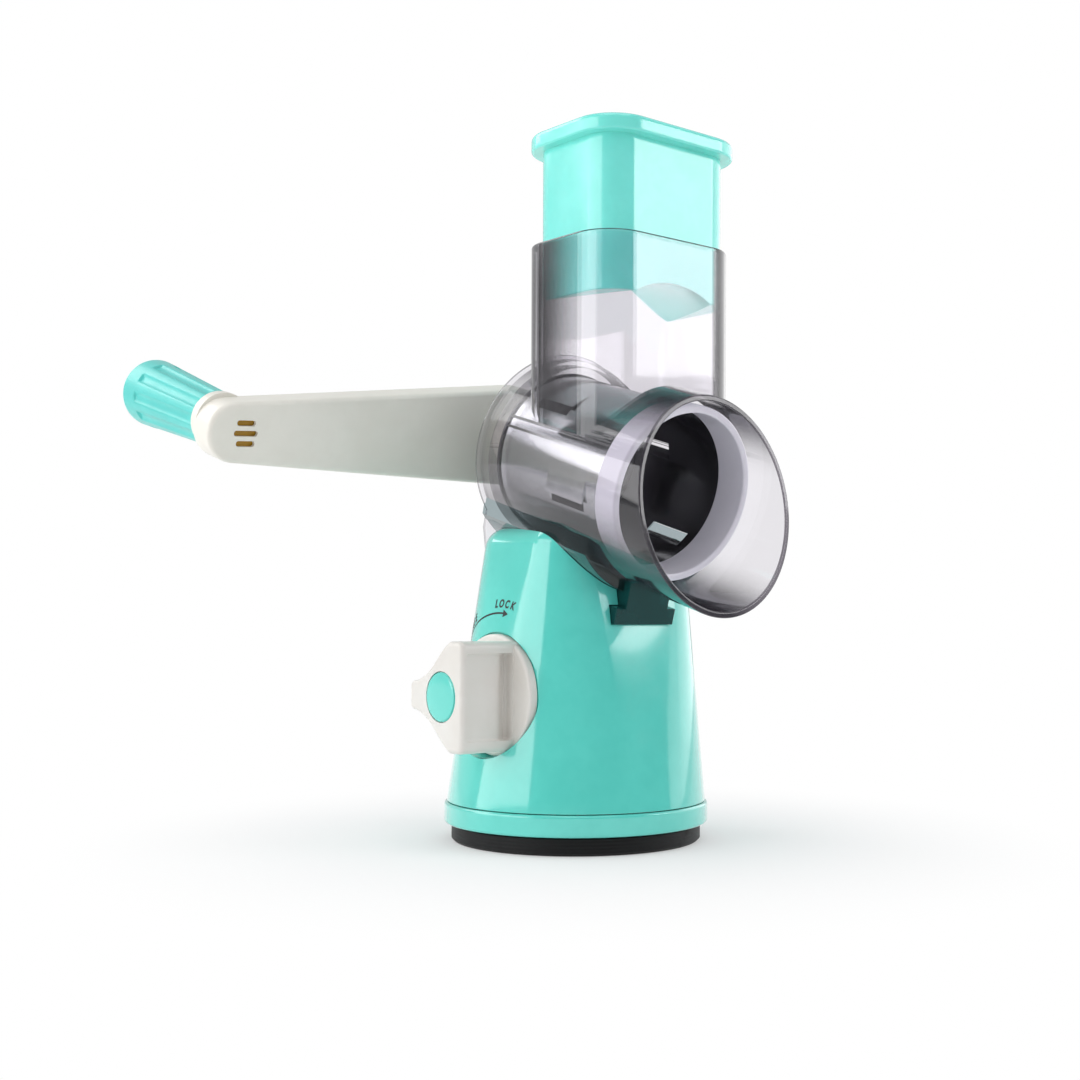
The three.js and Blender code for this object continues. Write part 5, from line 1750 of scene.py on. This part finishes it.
    def _wall(self, point: Vector) -> Wall:
        """Tell which kind of wall a point of the shell is on.

        Args:
            point: The point, in the whole object's frame.

        Returns:
            The kind of wall.
        """
        if self._on_mouth(point, margin=0.75):
            return Wall.RIM
        here = self.layout.drum.inverted() @ point
        out = math.hypot(here.x, here.z)
        if out < self.layout.chamber_radius + 0.3 or here.y > self.layout.back_face - 2:
            return Wall.PLAIN
        if here.z > self.seat_top:
            on_hopper = here.z > 0 and self.mouth_top + 6 < here.y < self.hopper_back
            return Wall.HOPPER if on_hopper else Wall.PLAIN
        on_rail = out > self.layout.seat_radius + 0.2 or here.y < self.seat_front - 0.3
        return Wall.RAIL if on_rail else Wall.SEAT

    def bush(self) -> Form:
        """White sleeve in the bearing.

        Returns:
            The solid.
        """
        low, high = self.layout.span("bearing_bush", self.layout.drum)
        bore, radius, flange = self.bush_bore, self.bush_radius, high.x
        seat = high.y - self.bush_flange
        corners = [(bore, low.y), (radius, low.y), (radius, seat), (flange, seat), (flange, high.y), (bore, high.y)]
        return Form.lathe(filleted(corners, [0.2, 0.3, 0, 0.4, 0.4, 0.2], 4), Axis.Y, MEDIUM)

    def build(self) -> None:
        """Make the housing and its bush."""
        shell = Piece("housing_shell", "housing", "clear_plastic", ("feed_housing",), 30).make(
            self.body(), Matrix.Identity(4), self.finishes.clear
        )
        finishes = self.finishes
        for finish in (finishes.clear_rim, finishes.clear_seat, finishes.clear_thick, finishes.clear_hopper):
            shell.data.materials.append(finish)
        for face in shell.data.polygons:
            face.material_index = self._wall(face.center / MM)
        Piece("shaft_bush", "housing", "white_plastic", ("bearing_bush",)).make(
            self.bush(), self.layout.drum, self.finishes.ring
        )


# ---------------------------------------------------------------- drum


@dataclass
class SlicingDrum(Assembly):
    """Steel sleeve with raised blades between a front ring and a rear hub."""

    sleeve_radius: float = 37.0
    thickness: float = 0.8
    front_margin: float = 10.7
    back_margin: float = 7.4
    row_gap: float = 3.0
    row_turns: tuple[float, float] = (60.0, 0.0)
    per_row: int = 3
    blade_rise: float = 1.5
    blade_angle: float = 17.0
    blade_curve: float = 1.25
    hone_start: float = 0.8
    hone_share: float = 0.3
    slot_angle: float = 13.0
    slot_inset: float = 1.0
    ring_wall: float = 3.4
    ring_collar: float = 12.8
    hub_boss: float = 11.0
    hub_web: float = 3.0
    hub_wall: float = 2.0
    hub_socket: float = 8.0
    hub_rim: float = 0.8
    square: float = 10.0

    def _sleeve_span(self) -> tuple[float, float, float]:
        """Radius, front and back of the plain sleeve."""
        low, high = self.layout.span("drum_sleeve", self.layout.drum)
        return self.sleeve_radius, low.y, high.y

    def blade(self, front: float, back: float) -> Form:
        """Plate that leaves the sleeve and rises to its edge.

        Args:
            front: Its front end.
            back: Its back end.

        Returns:
            The solid.
        """
        radius = self._sleeve_span()[0]
        outer, inner = [], []
        for share in shares(24):
            turn = math.radians(self.blade_angle * share)
            rise = self.blade_rise * share**self.blade_curve
            honed = max(0.0, (share - self.hone_start) / (1 - self.hone_start))
            thin = self.thickness * mix(1, self.hone_share, honed)
            for line, reach in ((outer, radius + rise), (inner, radius + rise - thin)):
                line.append((reach * math.cos(turn), reach * math.sin(turn)))
        return Form.prism(outer + inner[::-1], front, back, Axis.Y)

    def window(self, front: float, back: float) -> Form:
        """Gap that a slice falls through.

        Args:
            front: The blade's front end.
            back: The blade's back end.

        Returns:
            The solid to cut away.
        """
        radius = self._sleeve_span()[0]
        start = self.blade_angle - self.slot_angle / 2
        outer = arc((0, 0), radius + HAIR, start, start + self.slot_angle, 16)
        inner = arc((0, 0), radius - self.thickness - CLEAR, start, start + self.slot_angle, 16)
        return Form.prism(outer + inner[::-1], front + self.slot_inset, back - self.slot_inset, Axis.Y)

    def sleeve(self) -> Form:
        """Rolled sleeve with its windows and blades.

        Returns:
            The solid.
        """
        radius, front, back = self._sleeve_span()
        bore = radius - self.thickness
        tube = Form.lathe([(bore, front), (radius, front), (radius, back), (bore, back)], Axis.Y, 180)
        length = (back - front - self.front_margin - self.back_margin - self.row_gap) / 2
        blades, windows = [], []
        for row, first in enumerate(self.row_turns):
            start = front + self.front_margin + row * (length + self.row_gap)
            for k in range(self.per_row):
                place = turned(first + 360 * k / self.per_row, Axis.Y)
                windows.append(self.window(start, start + length).moved(place))
                blades.append(self.blade(start, start + length).moved(place))
        return union([reduced(tube, windows), *blades])

    def front_ring(self) -> Form:
        """White ring on the sleeve's front end.

        Returns:
            The solid.
        """
        low, high = self.layout.span("drum_front_ring", self.layout.drum)
        radius, front, end = high.x, low.y, high.y
        inner, back = radius - self.ring_wall, front + self.ring_collar
        sleeve, start, _ = self._sleeve_span()
        corners = [
            (inner, front), (radius, front), (radius, back), (sleeve + GAP, back), (sleeve + GAP, start - GAP),
            (sleeve - self.thickness - GAP, start - GAP), (sleeve - self.thickness - GAP, end), (inner, end),
        ]
        return Form.lathe(filleted(corners, [1.1, 1.4, 0.5, 0, 0, 0, 0.2, 0.4], 6), Axis.Y, 180)

    def rear_hub(self) -> Form:
        """Disc that carries the sleeve on the shaft's square.

        Returns:
            The solid.
        """
        low, high = self.layout.span("drum_rear_hub", self.layout.drum)
        radius, _, back = self._sleeve_span()
        boss, face, seat = low.y, high.y, back + GAP
        web, socket = face - self.hub_web, back - self.hub_socket
        collar, rim = radius - self.thickness - GAP, radius + self.hub_rim
        wall = collar - self.hub_wall
        corners = [
            (0, boss), (self.hub_boss, boss), (self.hub_boss, web), (wall, web), (wall, socket),
            (collar, socket), (collar, seat), (rim, seat), (rim, face), (0, face),
        ]
        disc = Form.lathe(filleted(corners, [0, 1.6, 1.2, 1.2, 0.4, 0.4, 0, 0.2, 0.5, 0], 5), Axis.Y)
        half = self.square / 2 + GAP
        return disc - Form.block((-half, half), (boss + 2, face + CLEAR), (-half, half))

    def build(self) -> None:
        """Make the sleeve, the ring and the hub."""
        drum = self.layout.drum
        Piece("steel_sleeve", "rotor", "steel", ("drum_sleeve",), 26).make(
            self.sleeve(), drum, self.finishes.drum_steel
        )
        Piece("white_ring", "rotor", "white_plastic", ("drum_front_ring",)).make(
            self.front_ring(), drum, self.finishes.ring
        )
        # the hub's dark grey finish is painted shade for the inside of the drum
        Piece("hub_disc", "rotor", "white_plastic", ("drum_rear_hub",)).make(
            self.rear_hub(), drum @ turned(CRANK_ANGLE, Axis.Y), self.finishes.hub
        )


# ---------------------------------------------------------------- crank


@dataclass
class Crank(Assembly):
    """Hollow-backed arm on the shaft, with its slots, insert and hub cap."""

    hub_radius: float = 23.8
    end_radius: float = 13.2
    arm_reach: float = 147.5
    thickness: float = 15.0
    edge: float = 2.2
    back_edge: float = 0.8
    wall: float = 3.4
    front_wall: float = 1.8
    collar_radius: float = 15.0
    collar_length: float = 10.5
    boss_radius: float = 12.0
    shaft_bore: float = 6.4
    screw_bore: float = 2.3
    neck_radius: float = 12.8
    neck_length: float = 3.5
    neck_root: float = 1.8
    neck_floor: float = 2.4
    pin_bore: float = 4.3
    grip_raise: float = 2.3
    rib_half: float = 1.05
    rib_places: tuple[float, ...] = (44.0, 74.0, 103.0)
    slot_lengths: tuple[float, ...] = (8.6, 11.0, 8.6)
    slot_pitch: float = 4.45
    slot_height: float = 2.5
    slot_inset: float = 4.0
    cap_bore: float = 6.0
    cap_roof: float = 1.4

    def place(self) -> Matrix:
        """Frame of the arm at rest: along the drum axis, turned to its angle."""
        return self.layout.drum @ turned(-CRANK_ANGLE, Axis.Y)

    def _depths(self) -> tuple[float, float, float]:
        """Collar's front, arm's face and arm's back.

        Returns:
            Their places along the drum axis.
        """
        front = self.layout.span("crank_arm", self.place())[0].y
        face = front + self.collar_length
        return front, face, face + self.thickness

    def outline(self, inset: float) -> Outline:
        """Large hub and small end joined by their common tangents.

        Args:
            inset: How far it is drawn in.

        Returns:
            A closed outline, counter-clockwise.
        """
        lean = math.degrees(math.asin((self.hub_radius - self.end_radius) / self.arm_reach))
        hub = arc((0, 0), self.hub_radius - inset, -90 - lean, 90 + lean, 72)
        end = arc((-self.arm_reach, 0), self.end_radius - inset, 90 + lean, 270 - lean, 56)
        return hub + end

    def _slots(self, face: float, inside: float) -> list[Form]:
        """Long holes through the arm's face.

        Args:
            face: The arm's face.
            inside: The back of its front wall.

        Returns:
            One cutting solid per hole.
        """
        cuts = []
        place = shifted(self.slot_inset - self.arm_reach, 0, 0)
        for k, length in enumerate(self.slot_lengths):
            height = (k - 1) * self.slot_pitch
            plan = rounded_rectangle(length, self.slot_height, self.slot_height / 2 - HAIR, (0, height), 10)
            cuts.append(Form.prism(plan, face - CLEAR, inside + CLEAR, Axis.Y).moved(place))
        return cuts

    def arm(self) -> Form:
        """The arm.

        Returns:
            The solid.
        """
        front, face, back = self._depths()
        inside = face + self.front_wall
        form = Form.prism(self.outline(0), face, back, Axis.Y, self.edge, self.back_edge)
        hollow = Form.prism(self.outline(self.wall), inside, back + CLEAR, Axis.Y, 0.9)
        deep, rib = (face + 1, back - 2), self.rib_half
        ribs = [Form.block((-self.arm_reach, 0), deep, (-rib, rib))]
        ribs += [Form.block((-p - rib, rib - p), deep, (-30, 30)) for p in self.rib_places]
        raised = shifted(-self.arm_reach, 0, self.grip_raise)
        seat = inside + self.neck_floor
        hub = Form.rod(self.boss_radius, face + 1, back - 1, Axis.Y)
        end = Form.rod(self.neck_radius, seat, back, Axis.Y).moved(raised) & form
        filled = union([form - hollow, union(ribs) & form, hub, end])
        half = self.slot_pitch + self.slot_height
        across = (-self.arm_reach - self.end_radius, self.end_radius + 2 * self.slot_inset - self.arm_reach)
        inner = Form.prism(self.outline(self.wall), inside, back, Axis.Y)
        room = Form.block(across, (inside, seat), (-half, half)) & inner
        root, neck_end = back - self.neck_root, back + self.neck_length
        neck = Form.rod(self.neck_radius, root, neck_end, Axis.Y, MEDIUM, (0, 0.5)).moved(raised)
        collar = Form.rod(self.collar_radius, front, face + 1, Axis.Y, MEDIUM, (0.8, 0), 5)
        cuts = [
            *self._slots(face, inside),
            Form.rod(self.shaft_bore, front - CLEAR, back - 4, Axis.Y, SMALL),
            Form.rod(self.screw_bore, face, back + CLEAR, Axis.Y, TINY),
            Form.rod(self.pin_bore, seat, neck_end + CLEAR, Axis.Y, SMALL).moved(raised),
        ]
        return reduced(union([filled - room, neck, collar]), cuts)

    def insert(self) -> Form:
        """Amber plate behind the three slots.

        Returns:
            The solid.
        """
        low, high = self.layout.span("slot_plate", self.place())
        plan = filleted([(low.x, low.z), (high.x, low.z), (high.x, high.z), (low.x, high.z)], 1.2, 6)
        return Form.prism(plan, low.y, high.y, Axis.Y, 0.3, 0.3)

    def cap(self) -> Form:
        """Round cap over the crank's screw.

        Returns:
            The solid.
        """
        low, high = self.layout.span("hub_cap", self.place())
        radius, seat, top = high.x, low.y, high.y
        bore, roof = self.cap_bore, top - self.cap_roof
        corners = [(bore, seat), (radius, seat), (radius, top), (0, top), (0, roof), (bore, roof)]
        return Form.lathe(filleted(corners, [0, 0.3, 1.8, 0, 0, 0], 8), Axis.Y, MEDIUM)

    def build(self) -> None:
        """Make the arm, its insert and its cap, and dress the shaft and the screw."""
        place = self.place()
        Piece("crank_lever", "rotor", "arm_plastic", ("crank_arm",), 28).make(self.arm(), place, self.finishes.arm)
        Piece("slot_insert", "rotor", "amber_plastic", ("slot_plate",)).make(self.insert(), place, self.finishes.amber)
        Piece("crank_cap", "rotor", "arm_plastic", ("hub_cap",)).make(self.cap(), place, self.finishes.arm)
        self.dress(self.finishes.steel, "drive_shaft", "crank_screw")


@dataclass
class Grip(Assembly):
    """Fluted handle that spins on its pin."""

    neck_radius: float = 12.2
    end_radius: float = 15.45
    mouth: float = 0.8
    dome: float = 3.0
    shoulder: float = 4.3
    flute_count: int = 10
    flute_radius: float = 4.2
    flute_depth: float = 1.1
    flute_stop: float = 14.0
    flute_end: float = 1.3
    pin_bore: float = 4.3
    head_bore: float = 6.8
    head_length: float = 2.5
    cap_bore: float = 10.3
    cap_seat: float = 3.0
    cap_crown: float = 1.4

    def place(self) -> Matrix:
        """Frame of the grip at rest."""
        return self.layout.grip @ turned(-CRANK_ANGLE, Axis.Y)

    def handle(self) -> Form:
        """Tapered handle with flutes that stop short of its end.

        Returns:
            The solid.
        """
        low, high = self.layout.span("grip_handle", self.place())
        start, back = low.y, high.y
        widest, seat = back - self.dome, back - self.cap_seat
        head = self.layout.span("grip_pin", self.place())[1].y - self.head_length - GAP
        lip, stop, end = self.mouth, back - self.flute_stop, self.flute_end
        rings = [self._ring(start + lip * t, lip * (1 - math.sqrt(t * (2 - t))), 1) for t in shares(5)]
        rings += [self._ring(mix(start + lip, stop, share), 0, 1) for share in shares(24)[1:-1]]
        rings += [self._ring(stop + end * t, 0, (1 + math.cos(math.pi * t)) / 2) for t in shares(8)]
        rings += [self._ring(mix(stop + end, widest, share), 0, 0) for share in shares(6)[1:-1]]
        for share in shares(12):
            angle = math.radians(90 * share)
            rings.append(self._ring(widest + self.dome * math.sin(angle), self.shoulder * (1 - math.cos(angle)), 0))
        stops = [start - CLEAR, head, seat, back + CLEAR]
        inner = [(0, stops[0])]
        for bore, near, far in zip((self.pin_bore, self.head_bore, self.cap_bore), stops, stops[1:]):
            inner += [(bore, near), (bore, far)]
        return Form.loft(rings) - Form.lathe([*inner, (0, stops[-1])], Axis.Y, MEDIUM)

    def _ring(self, place: float, inset: float, depth: float) -> list[Vector]:
        """Section of the fluted handle.

        Args:
            place: Where it lies along the axis.
            inset: How far its rim is drawn in.
            depth: Share of the flutes' full depth.

        Returns:
            Its points.
        """
        low, high = self.layout.span("grip_handle", self.place())
        share = min(1.0, (place - low.y) / (high.y - self.dome - low.y))
        radius = mix(self.neck_radius, self.end_radius, share)
        away = radius + self.flute_radius - self.flute_depth
        half = math.acos((radius**2 + away**2 - self.flute_radius**2) / (2 * radius * away))
        pitch = 2 * math.pi / self.flute_count
        points = []
        for k in range(self.flute_count):
            for step in shares(14):
                turn = mix(-half, half, step)
                cut = away * math.cos(turn) - math.sqrt(max(0.0, self.flute_radius**2 - (away * math.sin(turn)) ** 2))
                points.append((k * pitch + turn, mix(radius, cut, depth)))
            points += [(k * pitch + mix(half, pitch - half, step), radius) for step in shares(5)[1:-1]]
        return [Axis.Y.place((r - inset) * math.cos(a), (r - inset) * math.sin(a), place) for a, r in points]

    def cap(self) -> Form:
        """Shallow round cap in the handle's end.

        Returns:
            The solid.
        """
        low, high = self.layout.span("grip_cap", self.place())
        radius, seat, top = high.x, low.y, high.y
        base, turns = top - self.cap_crown, [math.radians(angle) for angle in range(12, 90, 6)]
        crown = [(radius * math.cos(turn), base + self.cap_crown * math.sin(turn)) for turn in turns]
        return Form.lathe([(0, seat), (radius, seat), (radius, base), *crown, (0, top)], Axis.Y, MEDIUM)

    def build(self) -> None:
        """Make the handle and its cap, and dress the pin."""
        place = self.place()
        Piece("grip_shell", "grip", "turquoise_plastic", ("grip_handle",), 55).make(
            self.handle(), place, self.finishes.grip
        )
        Piece("grip_plug", "grip", "turquoise_plastic", ("grip_cap",)).make(self.cap(), place, self.finishes.grip)
        self.dress(self.finishes.steel, "grip_pin")


# ---------------------------------------------------------------- pusher


@dataclass
class Pusher(Assembly):
    """Hollow pusher with a rim and a floor that arches over the drum."""

    shift: float = 0.8
    lift: float = 41.0
    wall: float = 2.0
    rim_overhang: float = 5.2
    rim_height: float = 7.0
    skirt: float = 66.0
    corner: float = 14.9
    lip: float = 1.5
    skirt_edge: float = 0.6
    rim_edges: Point = (1.0, 2.2)
    arch_radius: float = 46.5
    arch_facets: int = 240

    def _plan(self, margin: float) -> Outline:
        """Plan of the pusher.

        Args:
            margin: How far it is grown.

        Returns:
            A closed outline, counter-clockwise.
        """
        low, high = self.layout.span("pusher")
        width, depth = high.x - low.x - 2 * self.rim_overhang, high.y - low.y - 2 * self.rim_overhang
        middle = ((low.x + high.x) / 2, (low.y + high.y) / 2)
        return rounded_rectangle(width + 2 * margin, depth + 2 * margin, self.corner + margin, middle, 28)

    def body(self) -> Form:
        """The pusher as it is drawn out.

        Returns:
            The solid.
        """
        top = self.layout.span("pusher")[1].z
        seat = top - self.rim_height
        skirt = seat - self.skirt
        away = shifted(self.shift, -self.shift, self.lift) @ self.layout.drum
        arch, thick = (
            Form.rod(radius, -FAR, FAR, Axis.Y, self.arch_facets).moved(away)
            for radius in (self.arch_radius, self.arch_radius + self.wall)
        )
        body = Form.prism(self._plan(0), skirt, seat + 1, Axis.Z, self.skirt_edge)
        rim = Form.prism(self._plan(self.rim_overhang), seat, top, Axis.Z, *self.rim_edges)
        hollow = Form.well(self._plan(-self.wall), skirt + self.wall, top, self.lip, (22, 45, 68, 90))
        return body + rim - arch - (hollow - thick)

    def build(self) -> None:
        """Make the pusher."""
        # its finish is the turquoise painted paler as if lit
        Piece("pusher_body", "pusher", "turquoise_plastic", ("pusher",), 30).make(
            self.body(), Matrix.Identity(4), self.finishes.pusher
        )


# ---------------------------------------------------------------- studio


@dataclass(frozen=True)
class Softbox:
    """A rectangular lamp that looks at the object."""

    name: str
    azimuth: float
    height: float
    distance: float
    size: Point
    power: float
    aim: float = 0.16
    shine: bool = True

    def place(self) -> None:
        """Hang the lamp."""
        data = bpy.data.lights.new(self.name, "AREA")
        data.shape, data.size, data.size_y, data.energy = "RECTANGLE", *self.size, self.power
        lamp = bpy.data.objects.new(self.name, data)
        turn = math.radians(self.azimuth)
        lamp.location = (-self.distance * math.sin(turn), -self.distance * math.cos(turn), self.height)
        look = Vector((0, 0, self.aim)) - lamp.location
        lamp.rotation_euler = look.to_track_quat("-Z", "Y").to_euler()
        lamp.visible_glossy = self.shine
        bpy.context.scene.collection.objects.link(lamp)


@dataclass
class Studio:
    """Pale floor, white surroundings, softboxes and the camera."""

    position: Colour = (-0.450586, -0.550310, 0.105406)
    azimuth: float = 41.486
    pitch: float = -0.3375
    roll: float = 0.25
    lens: float = 50.95
    shift: Point = (-0.088, 0.074)
    ambient: float = 0.4
    dark: float = 0.16
    floor_radius: float = 6.0
    floor_drop: float = 0.0002
    shadow: Point = (0.06, 0.24)
    near_white: float = 0.35
    softboxes: list[Softbox] = field(
        default_factory=lambda: [
            Softbox("key_left", 108, 0.45, 1.2, (1.33, 0.8), 8.5),
            Softbox("side_right", 278, 0.45, 1.2, (1.6, 0.8), 4.5),
            Softbox("front_high", 319, 0.59, 1.25, (0.55, 0.4), 3.2),
            Softbox("top", 30, 1.4, 0.4, (1.0, 1.0), 5),
            Softbox("back_high", 153, 1.07, 1.3, (0.6, 0.75), 4),
            Softbox("front_fill", 15, 0.95, 1.4, (1.0, 0.6), 1.3, shine=False),
        ]
    )

    def floor(self) -> None:
        """Round floor that keeps the shadow near the object and fades to white."""
        work = bmesh.new()
        bmesh.ops.create_circle(work, cap_ends=True, segments=128, radius=self.floor_radius)
        mesh = meshed(work, "floor")
        plane = bpy.data.objects.new("floor", mesh)
        plane.location.z = -self.floor_drop
        bpy.context.scene.collection.objects.link(plane)
        shader = Shader.named("pale_floor")
        centre = shader.node("ShaderNodeTexCoord", {}, {}, "Object")
        distance = shader.node("ShaderNodeVectorMath", {"operation": "LENGTH"}, {0: centre}, 1)
        fade = self.near_white + distance.stepped(*self.shadow) * (1 - self.near_white)
        away = fade * shader.ray("Camera", "Glossy", "Transmission")
        shade = shader.node("ShaderNodeBsdfDiffuse", {}, {"Color": (0.9, 0.9, 0.9, 1)})
        white = shader.node("ShaderNodeEmission", {}, {"Color": (1, 1, 1, 1), "Strength": 1.0})
        mesh.materials.append(shader.finish(shader.node("ShaderNodeMixShader", {}, {0: away, 1: shade, 2: white})))

    def surroundings(self) -> None:
        """White world for what is seen, reflected or seen through, and a plain level of light."""
        shader = Shader(bpy.data.worlds.new("surroundings"))
        direction = shader.node("ShaderNodeTexCoord", {}, {}, "Generated")
        ahead = Vector((math.sin(math.radians(self.azimuth)), math.cos(math.radians(self.azimuth)), 0))
        facing = shader.node("ShaderNodeVectorMath", {"operation": "DOT_PRODUCT"}, {0: direction, 1: ahead}, 1)
        glossy = shader.ray("Glossy")
        behind = facing.stepped(-0.05, 0.45) * glossy * 0.6
        seen = (shader.ray("Camera", "Transmission") + behind).clamped()
        level = self.ambient - glossy * (self.ambient - self.dark)
        soft = shader.node("ShaderNodeBackground", {}, {"Color": (0.95, 0.97, 1, 1), "Strength": level})
        white = shader.node("ShaderNodeBackground", {}, {"Color": (1, 1, 1, 1), "Strength": 1.0})
        mixed = shader.node("ShaderNodeMixShader", {}, {0: seen, 1: soft, 2: white})
        world = shader.finish(mixed, "ShaderNodeOutputWorld")
        bpy.context.scene.world = world

    def camera(self) -> None:
        """Camera a little above the floor, towards the mouth and the crank."""
        data = bpy.data.cameras.new("camera")
        data.sensor_width, data.lens = 36, self.lens
        data.shift_x, data.shift_y = self.shift
        data.clip_start = 0.01
        eye = bpy.data.objects.new("camera", data)
        turn = Matrix.Rotation(math.radians(-self.azimuth), 4, "Z")
        tip = Matrix.Rotation(math.radians(90 + self.pitch), 4, "X")
        roll = Matrix.Rotation(math.radians(self.roll), 4, "Z")
        eye.matrix_world = Matrix.Translation(self.position) @ turn @ tip @ roll
        bpy.context.scene.collection.objects.link(eye)
        bpy.context.scene.camera = eye

    def build(self) -> None:
        """Set up the scene round the object."""
        self.floor()
        self.surroundings()
        for softbox in self.softboxes:
            softbox.place()
        self.camera()
        bpy.context.scene.view_settings.view_transform = "Standard"


def main() -> None:
    """Build the grater and its studio."""
    logging.basicConfig(level=logging.INFO, format="%(name)s %(message)s")
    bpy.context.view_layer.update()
    layout, finishes = Layout(frame), Finishes.build()
    Studio().build()
    SuctionFoot(layout, finishes).build()
    body = Pedestal(layout, finishes).build()
    Legend(layout, finishes).print_on(body)
    for assembly in (LockKnob, FeedHousing, SlicingDrum, Crank, Grip, Pusher):
        assembly(layout, finishes).build()


if __name__ == "__main__":
    main()
